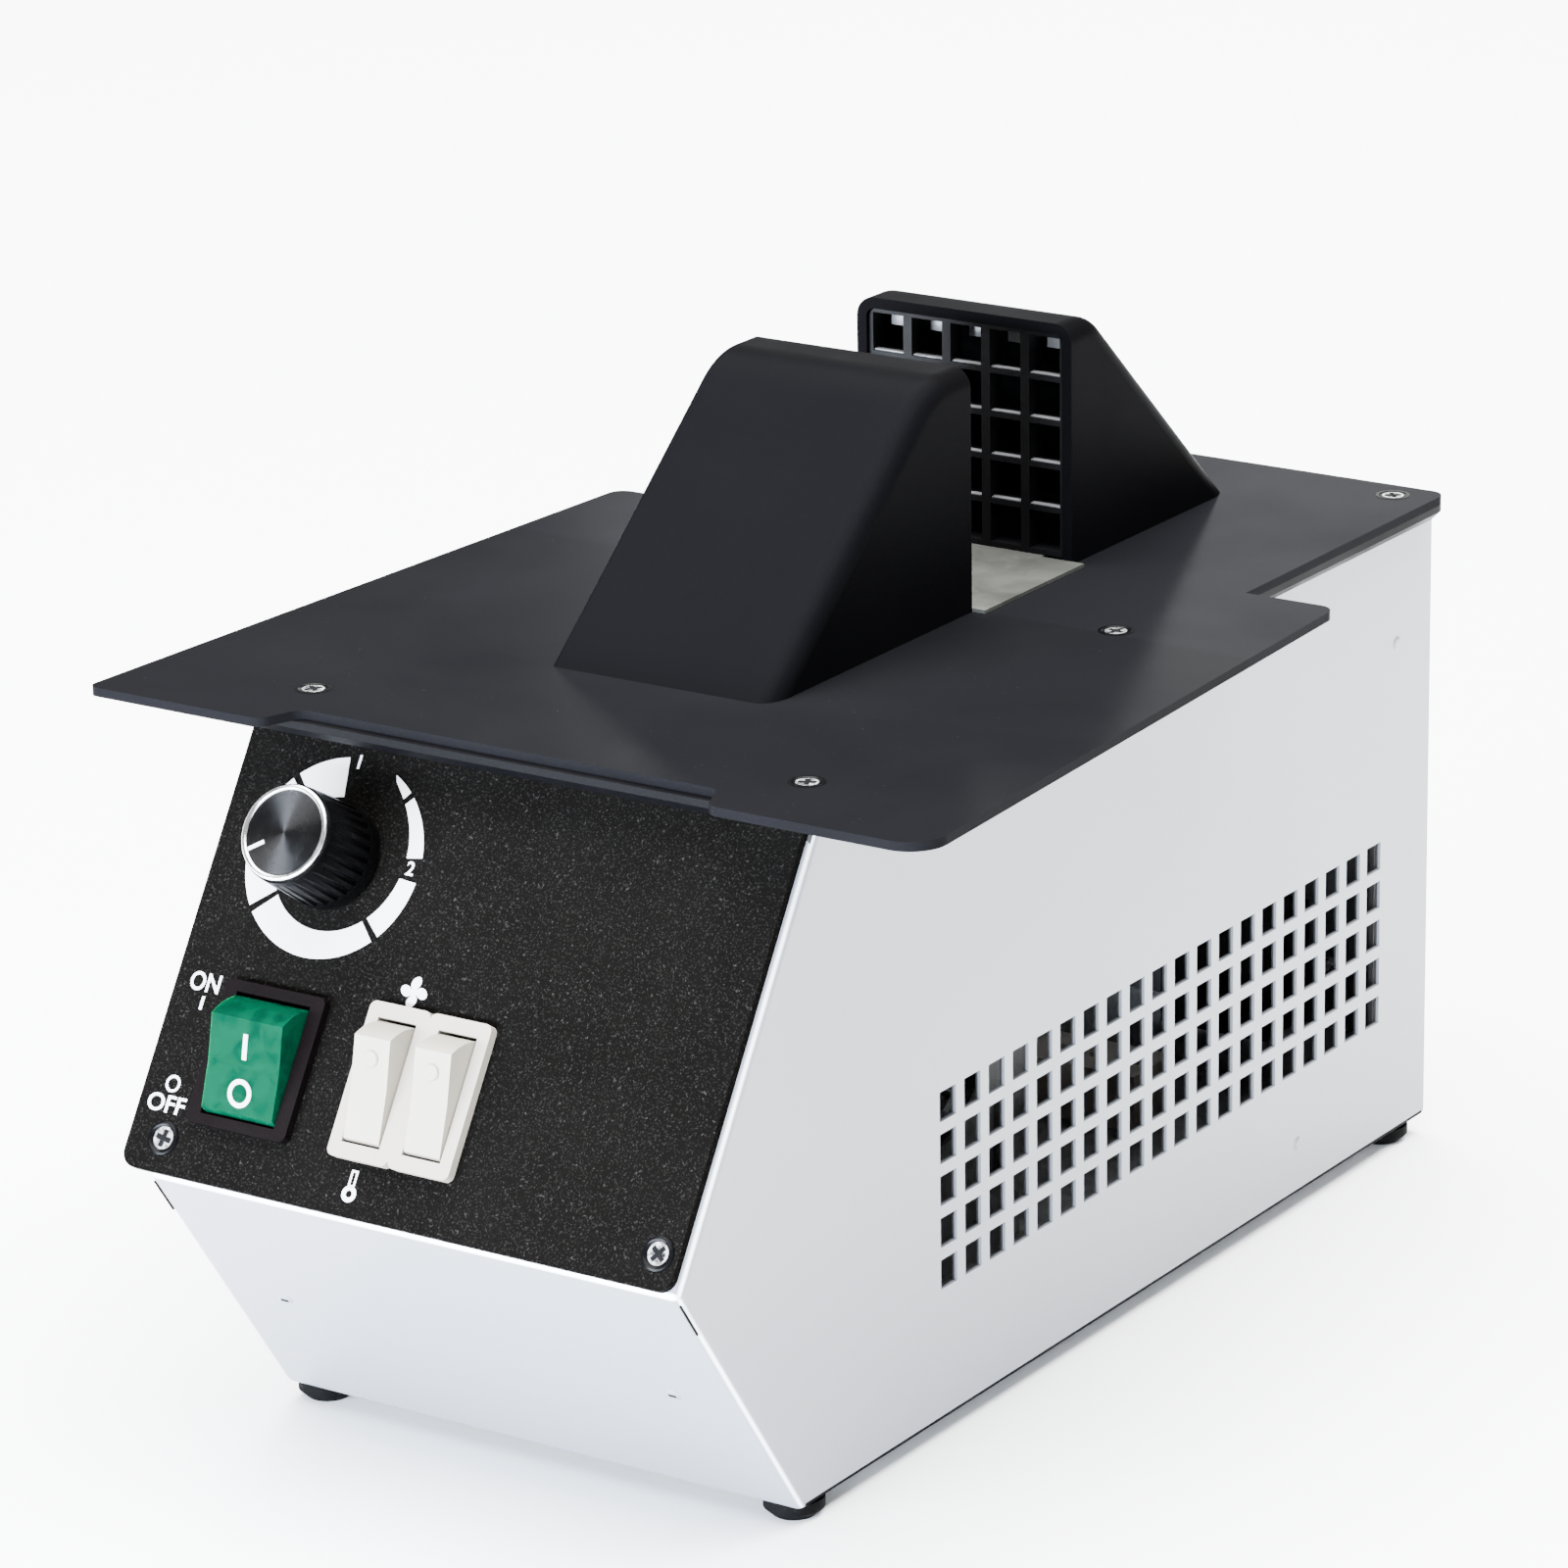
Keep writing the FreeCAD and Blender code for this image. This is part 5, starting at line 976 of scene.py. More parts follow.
@dataclass(frozen=True)
class FinishBook:
    """Every finish of the warmer."""

    casing: Finish = SheetPaint(
        "light_casing_paint", (0.146, 0.158, 0.180), (0.157, 0.169, 0.192), (0.135, 0.145, 0.165),
        roughness=0.34, unevenness=0.05, coat=0.25, specular=0.5, fine_size=1.1 * MM, cloud_size=60 * MM,
        speck_size=3.0 * MM, speck_level=0.78, relief=0.006 * MM,
    )
    plate: Finish = PlatePaint(
        "matt_black_plate", (0.0028, 0.0028, 0.0033), (0.0046, 0.0046, 0.0053), (0.010, 0.010, 0.011),
        roughness=0.2, unevenness=0.06, specular=0.003, fine_size=0.35 * MM, cloud_size=45 * MM,
        speck_size=0.9 * MM, speck_level=0.76, relief=0.006 * MM,
    )
    rim: Finish = Finish(
        "black_rim_paint", (0.0012, 0.0012, 0.0015), (0.002, 0.002, 0.0024), (0.008, 0.008, 0.008),
        roughness=0.42, specular=0.02, fine_size=0.4 * MM, speck_size=1.2 * MM, speck_level=0.75,
        relief=0.010 * MM,
    )
    hood: Finish = Finish(
        "matt_black_hood", (0.0014, 0.0014, 0.0017), (0.002, 0.002, 0.0023), (0.005, 0.005, 0.0055),
        roughness=0.40, unevenness=0.05, specular=0.003, fine_size=0.4 * MM, cloud_size=28 * MM,
        speck_size=0.8 * MM, speck_level=0.8, relief=0.006 * MM,
    )
    panel: Finish = WrinklePaint(
        "wrinkled_black_panel", (0.0013, 0.0012, 0.0011), (0.0021, 0.002, 0.0018), (0.012, 0.0115, 0.011),
        roughness=0.42, unevenness=0.10, specular=0.001, fine_size=0.5 * MM, cloud_size=24 * MM,
        speck_size=0.7 * MM, speck_level=0.66, relief=0.16 * MM,
    )
    ink: Finish = Finish(
        "white_panel_ink", (0.50, 0.505, 0.515), (0.46, 0.465, 0.475), (0.36, 0.365, 0.375),
        roughness=0.55, specular=0.1, fine_size=0.3 * MM, cloud_size=3 * MM, speck_size=0.5 * MM,
        speck_level=0.74, relief=0.01 * MM,
    )
    bezel: Finish = Finish(
        "dark_bezel_plastic", (0.0016, 0.0012, 0.0013), (0.0022, 0.0017, 0.0018), (0.008, 0.006, 0.006),
        roughness=0.36, specular=0.012, fine_size=0.25 * MM, speck_size=0.8 * MM, speck_level=0.77,
        relief=0.008 * MM,
    )
    cream: Finish = Finish(
        "cream_plastic", (0.238, 0.218, 0.182), (0.253, 0.233, 0.197), (0.205, 0.185, 0.15),
        roughness=0.34, unevenness=0.06, coat=0.02, specular=0.12, fine_size=0.3 * MM, cloud_size=8 * MM,
        speck_size=1.6 * MM, speck_level=0.78, relief=0.004 * MM,
    )
    lens: Finish = LensPlastic(
        "green_lens_plastic", (0.0, 0.021, 0.010), (0.0, 0.025, 0.012), (0.0, 0.036, 0.018),
        roughness=0.26, unevenness=0.05, coat=0.0, specular=0.002, fine_size=0.5 * MM, cloud_size=5 * MM,
        speck_size=2.2 * MM, speck_level=0.70, relief=0.006 * MM,
    )
    knob: Finish = Finish(
        "knob_plastic", (0.0008, 0.0008, 0.0009), (0.0014, 0.0014, 0.0015), (0.005, 0.005, 0.005),
        roughness=0.32, unevenness=0.08, specular=0.008, fine_size=0.2 * MM, cloud_size=4 * MM,
        speck_size=0.7 * MM, speck_level=0.77, relief=0.008 * MM,
    )
    knob_face: Finish = SpunMetal(
        "spun_black_face", (0.005, 0.005, 0.0052), (0.0075, 0.0075, 0.0078), (0.008, 0.008, 0.008),
        roughness=0.24, unevenness=0.05, metallic=0.85, fine_size=0.1 * MM, cloud_size=4 * MM,
        speck_size=0.4 * MM, speck_level=0.80, relief=0.02 * MM,
    )
    bright: Finish = SpunMetal(
        "bright_turned_metal", (0.84, 0.84, 0.85), (0.74, 0.75, 0.77), (0.60, 0.61, 0.63),
        roughness=0.20, unevenness=0.06, metallic=1.0, fine_size=0.1 * MM, cloud_size=3 * MM,
        speck_size=0.5 * MM, speck_level=0.78, relief=0.006 * MM, groove=0.10 * MM,
    )
    # Painted shade: near-black rings that stand for the shaded countersinks round the screws.
    countersink_shade: Finish = Finish(
        "countersink_shade_ring", (0.0008, 0.0008, 0.001), (0.0014, 0.0014, 0.0016), (0.006, 0.006, 0.006),
        roughness=0.25, unevenness=0.04, specular=0.03, fine_size=0.3 * MM, cloud_size=2 * MM,
        speck_size=0.8 * MM, speck_level=0.8, relief=0.004 * MM,
    )
    # Painted shade: near-black colour for the shaded cross recesses in the screws and the dark lines and
    # marks on the casing.
    recess_shade: Finish = Finish(
        "shaded_recess", (0.002, 0.002, 0.0023), (0.004, 0.004, 0.0044), (0.012, 0.012, 0.012),
        roughness=0.6, specular=0.02, fine_size=0.3 * MM, cloud_size=3 * MM, speck_size=0.8 * MM,
        speck_level=0.76, relief=0.01 * MM,
    )
    bright_lining: Finish = BrushedMetal(
        "bright_lining_sheet", (0.10, 0.102, 0.106), (0.16, 0.162, 0.167), (0.05, 0.051, 0.053),
        roughness=0.38, metallic=0.3, fine_size=0.3 * MM, cloud_size=8 * MM,
        speck_size=1.0 * MM, speck_level=0.75, relief=0.008 * MM,
    )
    screw: Finish = BrushedMetal(
        "plated_screw_steel", (0.62, 0.62, 0.63), (0.80, 0.80, 0.81), (0.36, 0.35, 0.33),
        roughness=0.30, metallic=1.0, fine_size=0.15 * MM, cloud_size=1.5 * MM,
        speck_size=0.6 * MM, speck_level=0.68, relief=0.012 * MM, stretch=(1.0, 0.2, 1.0),
    )
    zinc: Finish = Spangle(
        "galvanised_sheet", (0.038, 0.039, 0.035), (0.049, 0.05, 0.045), (0.026, 0.028, 0.025),
        roughness=0.42, metallic=0.35, fine_size=0.4 * MM, cloud_size=12 * MM,
        speck_size=1.4 * MM, speck_level=0.72, relief=0.006 * MM,
    )
    # Painted light: a lighter copy of the galvanised finish for the parts inside the casing, making up for
    # the shade in there; the gap floor in the open keeps the darker copy above.
    zinc_inside_painted_light: Finish = Spangle(
        "inner_sheet_painted_light", (0.12, 0.125, 0.125), (0.16, 0.165, 0.16), (0.08, 0.082, 0.08),
        roughness=0.42, metallic=0.4, fine_size=0.4 * MM, cloud_size=12 * MM,
        speck_size=1.4 * MM, speck_level=0.72, relief=0.006 * MM, crystal=(0.20, 0.206, 0.21),
    )
    grille: Finish = Finish(
        "black_grille_plastic", (0.002, 0.002, 0.0023), (0.0035, 0.0035, 0.004), (0.012, 0.012, 0.012),
        roughness=0.45, specular=0.06, fine_size=0.3 * MM, speck_size=0.9 * MM, speck_level=0.78,
        relief=0.008 * MM,
    )
    rubber: Finish = Finish(
        "foot_rubber", (0.0015, 0.0015, 0.0015), (0.0025, 0.0025, 0.0025), (0.01, 0.0095, 0.009),
        roughness=0.65, specular=0.02, unevenness=0.10, fine_size=0.3 * MM, cloud_size=5 * MM,
        speck_size=0.9 * MM, speck_level=0.66, relief=0.02 * MM,
    )
    moulded: Finish = Finish(
        "black_moulded_plastic", (0.004, 0.004, 0.0043), (0.006, 0.006, 0.0064), (0.018, 0.018, 0.018),
        roughness=0.48, specular=0.06, fine_size=0.35 * MM, cloud_size=8 * MM, speck_size=1.0 * MM,
        speck_level=0.77, relief=0.012 * MM,
    )
    aluminium: Finish = BrushedMetal(
        "drawn_aluminium", (0.62, 0.63, 0.65), (0.74, 0.75, 0.77), (0.45, 0.46, 0.48),
        roughness=0.34, metallic=1.0, fine_size=0.3 * MM, cloud_size=8 * MM,
        speck_size=1.0 * MM, speck_level=0.75, relief=0.008 * MM,
    )
    laminations: Finish = Layered(
        "stacked_laminations", (0.36, 0.37, 0.39), (0.42, 0.43, 0.45), (0.25, 0.20, 0.16),
        roughness=0.42, metallic=0.9, fine_size=0.3 * MM, cloud_size=9 * MM,
        speck_size=1.1 * MM, speck_level=0.70, relief=0.04 * MM, pitch=0.7 * MM,
    )
    winding: Finish = Layered(
        "enamelled_winding", (0.50, 0.20, 0.08), (0.58, 0.26, 0.11), (0.28, 0.10, 0.04),
        roughness=0.28, metallic=0.7, coat=0.5, fine_size=0.3 * MM, cloud_size=6 * MM,
        speck_size=1.0 * MM, speck_level=0.72, relief=0.10 * MM, pitch=0.5 * MM, shade=(0.10, 0.03, 0.01),
        turn=math.pi / 2,
    )
    board: Finish = CircuitBoard(
        "board_solder_mask", (0.03, 0.20, 0.09), (0.04, 0.24, 0.11), (0.02, 0.14, 0.06),
        roughness=0.30, coat=0.3, fine_size=0.4 * MM, cloud_size=9 * MM,
        speck_size=1.1 * MM, speck_level=0.75, relief=0.03 * MM,
    )
    capacitor: Finish = Finish(
        "capacitor_case", (0.62, 0.42, 0.07), (0.68, 0.48, 0.10), (0.45, 0.30, 0.05),
        roughness=0.36, fine_size=0.3 * MM, cloud_size=5 * MM, speck_size=1.0 * MM,
        speck_level=0.76, relief=0.008 * MM,
    )
    mica: Finish = Layered(
        "mica_board", (0.50, 0.43, 0.31), (0.58, 0.51, 0.38), (0.34, 0.27, 0.18),
        roughness=0.50, fine_size=0.5 * MM, cloud_size=4 * MM, speck_size=1.2 * MM,
        speck_level=0.66, relief=0.02 * MM, pitch=1.6 * MM, shade=(0.42, 0.35, 0.24),
    )
    wire: Finish = BrushedMetal(
        "heater_wire", (0.34, 0.31, 0.29), (0.44, 0.41, 0.39), (0.20, 0.15, 0.12),
        roughness=0.45, metallic=1.0, fine_size=0.2 * MM, cloud_size=4 * MM,
        speck_size=0.8 * MM, speck_level=0.68, relief=0.01 * MM, stretch=(1.0, 0.1, 1.0),
    )


@dataclass
class Wardrobe:
    """Builds each finish once and hands it out."""

    book: FinishBook = field(default_factory=FinishBook)
    built: dict[str, bpy.types.Material] = field(default_factory=dict)

    def take(self, name: str) -> bpy.types.Material:
        """Return the material of one finish.

        Args:
            name: The finish's field in the book.

        Returns:
            Its material, built at first use.
        """
        if name not in self.built:
            self.built[name] = getattr(self.book, name).material()
        return self.built[name]

    def dress(self, piece: Piece, name: str) -> None:
        """Give a piece one finish all over.

        Args:
            piece: The object to dress.
            name: The finish's field in the book.
        """
        material = self.take(name)
        if not piece.material_slots:
            piece.data.materials.append(material)
        for slot in piece.material_slots:
            slot.material = material


@dataclass
class Maker:
    """Hands in new pieces: seats and dresses them, ties them to a body and reports them."""

    wardrobe: Wardrobe = field(default_factory=Wardrobe)

    def hand_in(
        self,
        piece: Piece,
        place: Matrix,
        finish: str,
        body: Body = Body.CHASSIS,
        slot: str = "",
        names: Sequence[str] = (),
    ) -> None:
        """Seat and dress a new piece and tie it to its body.

        Args:
            piece: The finished mesh object, modelled about the world's origin.
            place: Turns the model's own axes into the row frame.
            finish: The finish's field in the book.
            body: The body that it moves with.
            slot: Not used.
            names: Carried nodes that the piece replaces.
        """
        seat(piece, place)
        self.wardrobe.dress(piece, finish)
        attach(piece, body.value)
        if names:
            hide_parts(*names)
        LOG.info("piece %s rides on %s", piece.name, body.value)

    def print_on(self, piece: Piece, x: float, s: float) -> None:
        """Hand in white print on the control panel.

        Args:
            piece: The printed shape.
            x: Distance to the right of the middle.
            s: Distance up the slope from the bend.
        """
        self.hand_in(piece, PANEL.at(x, s, PANEL_FACE), "ink")


# ---------------------------------------------------------------- carried parts


@dataclass
class CarriedParts:
    """The nodes that keep their own shape, each with its finish."""

    maker: Maker
    finishes: dict[str, Sequence[str]] = field(
        default_factory=lambda: {
            "casing": ("casing_shell", "back_panel", "side_rivets", "front_rivets"),
            "plate": ("top_plate",),
            "rim": ("rim_frame",),
            "hood": ("front_hood", "rear_hood"),
            "panel": ("control_panel",),
            "grille": ("front_grille", "rear_grille"),
            "zinc": ("gap_floor",),
            "zinc_inside_painted_light": (
                "base_tray", "air_duct", "blower_housing", "blower_stand",
                "front_bearing_bracket", "rear_bearing_bracket",
            ),
            "screw": (
                "back_screws", "foot_screws", "plate_screws", "inlet_screws", "panel_screws",
                "motor_bolts", "motor_shaft", "control_shaft", "potentiometer_nut",
            ),
            "aluminium": ("impeller", "heat_sink"),
            "laminations": ("motor_stator", "motor_rotor"),
            "winding": ("motor_coil",),
            "mica": ("heater_boards",),
            "wire": ("heater_coils",),
            "moulded": ("thermal_cutout", "board_standoffs", "mains_inlet", "fuse_drawer", "potentiometer"),
            "board": ("control_board",),
            "capacitor": ("filter_capacitor",),
            "cream": ("terminal_block", "fan_switch", "fan_rocker", "heat_switch", "heat_rocker"),
            "rubber": ("feet",),
            "bezel": ("power_switch",),
            "lens": ("power_rocker",),
            "knob": ("knob",),
            "bright": ("knob_cap",),
        }
    )

    def dress(self) -> None:
        """Give every carried node its finish."""
        for finish, nodes in self.finishes.items():
            for name in nodes:
                self.maker.wardrobe.dress(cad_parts[name], finish)
                LOG.info("node %s has finish %s", name, finish)
        bare = set(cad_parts) - {name for nodes in self.finishes.values() for name in nodes}
        if bare:
            raise ValueError(f"no finish for {sorted(bare)}")


# ---------------------------------------------------------------- dial


@dataclass
class Dial:
    """The printed scale round the knob: a band that widens clockwise, in six fields."""

    maker: Maker
    radius: float = 21.6 * MM
    fields: tuple[Flat, ...] = (
        (25.0, 40.0), (43.8, 80.5), (94.8, 131.6), (135.9, 227.8), (232.2, 313.2), (317.8, 351.0),
    )
    widest: float = 8.5 * MM
    thinnest: float = 0.05 * MM
    growth: float = 0.45
    chord: float = 3.0
    fewest_steps: int = 4
    digits: tuple[tuple[Lettering, float, float], ...] = (
        (Lettering.ONE, -43.6 * MM, 93.2 * MM), (Lettering.TWO, -23.6 * MM, 73.4 * MM),
    )
    digit_height: float = 3.0 * MM

    def width_at(self, angle: float) -> float:
        """Width of the band at an angle clockwise from the top, in degrees."""
        share = max(angle - self.fields[0][0], 0.0) / (self.fields[-1][1] - self.fields[0][0])
        return max(self.widest * share**self.growth, self.thinnest)

    def spot(self, angle: float, radius: float) -> Vector:
        """Point at an angle clockwise from the top, in degrees."""
        turn = math.radians(angle)
        return Vector((radius * math.sin(turn), radius * math.cos(turn), 0.0))

    def outline(self, first: float, last: float) -> list[Vector]:
        """Points round one field, forward along its outer edge and back along its inner edge.

        Args:
            first: Angle where the field starts.
            last: Angle where it ends.

        Returns:
            The field's corners and the points of its two arcs.
        """
        steps = max(int((last - first) / self.chord), self.fewest_steps)
        angles = [first + (last - first) * step / steps for step in range(steps + 1)]
        outer = [self.spot(angle, self.radius) for angle in angles]
        inner = [self.spot(angle, self.radius - self.width_at(angle)) for angle in reversed(angles)]
        return outer + inner

    def build(self) -> None:
        """Print the band and its two numbers."""
        fields = [
            flat_print(f"dial_field_{number}", self.outline(*ends))
            for number, ends in enumerate(self.fields, start=1)
        ]
        self.maker.print_on(merge_pieces("dial_band", fields), *DIAL_SPOT)
        for letter, x, s in self.digits:
            printed = print_text(f"dial_number_{letter.value}", letter, self.digit_height)
            self.maker.print_on(printed, x, s)


# ---------------------------------------------------------------- knob


@dataclass
class Knob:
    """The knob's bright rim, its spun face and its pointer."""

    maker: Maker
    crown: float = 20.6 * MM
    rim_radius: float = 10.25 * MM
    rim_width: float = 1.2 * MM
    rim_height: float = 1.2 * MM
    face_height: float = 0.9 * MM
    pointer_angle: float = math.radians(237.0)
    pointer_start: float = 4.9 * MM
    pointer_end: float = 8.9 * MM
    pointer_width: float = 0.85 * MM
    pointer_height: float = 0.08 * MM
    pointer_edge: float = 0.02 * MM
    grooves: int = 30
    groove_slope: float = math.radians(11.0)
    steps: int = 96

    def rim(self) -> Piece:
        """Turn the bright rim with rounded shoulders."""
        inner = self.rim_radius - self.rim_width
        soft = self.rim_width / 4
        profile = [
            (inner, 0.0),
            (self.rim_radius, 0.0),
            (self.rim_radius, self.rim_height - soft),
            (self.rim_radius - soft, self.rim_height),
            (inner + soft, self.rim_height),
            (inner, self.rim_height - soft),
        ]
        piece = lathe("knob_rim", profile, self.steps, closed=True)
        soften(piece, soft / 3)
        return piece

    def face(self) -> Piece:
        """Turn the face inside the rim, with its fine concentric grooves."""
        inner = self.rim_radius - self.rim_width
        half_pitch = inner / (2 * self.grooves)
        depth = half_pitch * math.tan(self.groove_slope)
        profile = [(0.0, 0.0), (inner, 0.0)]
        for crest in range(2 * self.grooves + 1):
            lowered = depth if crest % 2 else 0.0
            profile.append((inner - crest * half_pitch, self.face_height - lowered))
        return lathe("knob_face", profile, self.steps)

    def pointer(self) -> Piece:
        """Model the white pointer line near the face's edge."""
        size = (self.pointer_width, self.pointer_end - self.pointer_start, self.pointer_height)
        middle = (0.0, (self.pointer_start + self.pointer_end) / 2, self.face_height)
        return turned(slab("knob_pointer", size, middle, self.pointer_edge), self.pointer_angle)

    def build(self) -> None:
        """Make the knob's pieces and seat them on its axis."""
        top = PANEL.at(*DIAL_SPOT, self.crown)
        self.maker.hand_in(self.rim(), top, "bright", Body.KNOB, "cap_metal", ["knob_cap"])
        self.maker.hand_in(self.face(), top, "knob_face", Body.KNOB, "knob_black")
        self.maker.hand_in(self.pointer(), top, "ink", Body.KNOB)


# ---------------------------------------------------------------- switches


@dataclass(frozen=True)
class RockerTop:
    """The two flat halves of one rocker's top, which meet in a shallow valley over its pivot."""

    body: Body
    x: float
    s: float
    n: float
    radius: float
    span: float
    tilt: float = math.radians(18.0)
    sag: float = 0.6 * MM

    def spot(self, along: float) -> Matrix:
        """Place of a spot on the rocker.

        Args:
            along: Distance of the spot from the rocker's middle, positive up the slope.

        Returns:
            The matrix from a model's own axes to the row frame.
        """
        reach = self.radius * math.sin(self.span)
        height = self.radius * math.cos(self.span)
        fall = math.copysign(math.atan2(self.sag, reach), along)
        up = height - self.sag + abs(along) * math.tan(abs(fall))
        local = Matrix.Translation((0.0, along, up)) @ Matrix.Rotation(fall, 4, "X")
        return PANEL.at(self.x, self.s, self.n, self.tilt) @ local


def slim_rocker(body: Body, x: float) -> RockerTop:
    """Return the top of one cream rocker.

    Args:
        body: The body that the rocker moves with.
        x: Its distance to the right of the middle.

    Returns:
        The rocker's top.
    """
    return RockerTop(body, x, 28.5 * MM, 0.8 * MM, 12.9 * MM, math.radians(56.0))


@dataclass
class RockerMarks:
    """What stands on the faces of the three rockers."""

    maker: Maker
    power: RockerTop = RockerTop(
        Body.POWER, -45.5 * MM, 27.6 * MM, 0.2 * MM, 12.8 * MM, math.radians(50.2)
    )
    slim: tuple[tuple[str, RockerTop], ...] = (
        ("fan_dot", slim_rocker(Body.FAN, -14.3 * MM)), ("heat_dot", slim_rocker(Body.HEAT, 0.9 * MM)),
    )
    mark_sink: float = 0.03 * MM
    mark_height: float = 0.12 * MM
    bar_size: Flat = (1.15 * MM, 5.4 * MM)
    bar_along: float = 4.1 * MM
    bar_edge: float = 0.04 * MM
    ring_radii: Flat = (1.95 * MM, 3.0 * MM)
    ring_along: float = -5.6 * MM
    ring_edge: float = 0.03 * MM
    dot_radius: float = 1.8 * MM
    dot_along: float = 6.3 * MM
    dot_height: float = 0.45 * MM
    dot_facets: int = 40

    def build(self) -> None:
        """Make the bar, the ring and the two raised dots."""
        middle = (0.0, 0.0, self.mark_height / 2 - self.mark_sink)
        bar = slab("power_bar", (*self.bar_size, self.mark_height), middle, self.bar_edge)
        self.maker.hand_in(bar, self.power.spot(self.bar_along), "ink", self.power.body)
        ring = flat_ring("power_ring", self.ring_radii, self.mark_height)
        soften(ring, self.ring_edge)
        place = self.power.spot(self.ring_along) @ Matrix.Translation((0.0, 0.0, -self.mark_sink))
        self.maker.hand_in(ring, place, "ink", self.power.body)
        for name, rocker in self.slim:
            dot = lathe(name, self.dot_profile(), self.dot_facets)
            self.maker.hand_in(dot, rocker.spot(self.dot_along), "cream", rocker.body, "cream")

    def dot_profile(self) -> list[Flat]:
        """Profile of a low dot with a rounded edge."""
        soft = self.dot_height / 2
        return [
            (0.0, -self.mark_sink),
            (self.dot_radius, -self.mark_sink),
            (self.dot_radius, self.dot_height - soft),
            (self.dot_radius - soft, self.dot_height),
            (0.0, self.dot_height),
        ]


# ---------------------------------------------------------------- panel print


@dataclass
class PanelPrint:
    """The words and signs beside the switches."""

    maker: Maker
    on_spot: Flat = (-64.9 * MM, 41.4 * MM)
    on_size: Flat = (7.6 * MM, 4.1 * MM)
    off_spot: Flat = (-65.4 * MM, 14.9 * MM)
    off_size: Flat = (9.6 * MM, 3.8 * MM)
    bar_spot: Flat = (-64.25 * MM, 37.0 * MM)
    bar_size: Flat = (0.75 * MM, 2.9 * MM)
    bar_edge: float = 0.01 * MM
    ring_spot: Flat = (-65.25 * MM, 19.25 * MM)
    ring_radii: Flat = (1.25 * MM, 1.85 * MM)
    fan_spot: Flat = (-13.9 * MM, 48.5 * MM)
    blade_radius: float = 1.15 * MM
    blade_reach: float = 1.95 * MM
    blade_stretch: Point = (0.95, 1.25, 1.0)
    blade_lean: float = math.radians(28.0)
    blade_facets: int = 28
    hub_radius: float = 0.95 * MM
    hub_height: float = 1.01 * INK
    hub_facets: int = 24
    gauge_spot: Flat = (-15.0 * MM, 5.3 * MM)
    bulb_radii: Flat = (0.75 * MM, 1.75 * MM)
    stem_size: Flat = (1.7 * MM, 3.6 * MM)
    stem_line: float = 0.5 * MM
    stem_start: float = 0.8

    def word(self, name: str, letters: Lettering, spot: Flat, size: Flat) -> None:
        """Print one word beside the power switch."""
        width, height = size
        self.maker.print_on(print_text(name, letters, height, width), *spot)

    def blades(self) -> Piece:
        """Model the four-bladed fan sign."""
        top = (0.0, self.blade_reach, 0.0)
        deselect_all()
        bpy.ops.mesh.primitive_circle_add(
            vertices=self.blade_facets, radius=self.blade_radius, fill_type="NGON", location=top
        )
        piece = adopt("fan_sign")
        edit(piece)
        bpy.ops.transform.resize(value=self.blade_stretch, center_override=top)
        turn_about(self.blade_lean, top)
        for _ in range(3):
            bpy.ops.mesh.duplicate()
            turn_about(math.pi / 2)
        thicken(INK)
        bpy.ops.mesh.select_all(action="SELECT")
        bpy.ops.mesh.normals_make_consistent(inside=False)
        close()
        wide, tall = self.hub_radius, self.hub_height
        hub = lathe("fan_sign_hub", [(0.0, 0.0), (wide, 0.0), (wide, tall), (0.0, tall)], self.hub_facets)
        return merge_pieces("fan_sign", [piece, hub])

    def gauge(self) -> Piece:
        """Model the thermometer sign as a ring with an open stem."""
        bulb = flat_ring("gauge_bulb", self.bulb_radii, INK)
        wide, tall = self.stem_size
        middle = (0.0, self.bulb_radii[1] * self.stem_start + tall / 2, 0.0)
        deselect_all()
        bpy.ops.mesh.primitive_plane_add(size=1.0, location=middle)
        stem = adopt("gauge_stem")
        edit(stem)
        bpy.ops.transform.resize(value=(wide, tall, 1.0), center_override=middle)
        bpy.ops.mesh.inset(thickness=self.stem_line, depth=0.0)
        bpy.ops.mesh.delete(type="FACE")
        thicken(INK)
        return merge_pieces("heat_sign", [bulb, close_up(stem)])

    def build(self) -> None:
        """Print the words, the bar, the ring and the two signs."""
        self.word("print_on", Lettering.ON, self.on_spot, self.on_size)
        self.word("print_off", Lettering.OFF, self.off_spot, self.off_size)
        bar = slab("print_bar", (*self.bar_size, INK), (0.0, 0.0, INK / 2), self.bar_edge)
        self.maker.print_on(bar, *self.bar_spot)
        self.maker.print_on(flat_ring("print_ring", self.ring_radii, INK), *self.ring_spot)
        self.maker.print_on(self.blades(), *self.fan_spot)
        self.maker.print_on(self.gauge(), *self.gauge_spot)


# ---------------------------------------------------------------- screws and seams


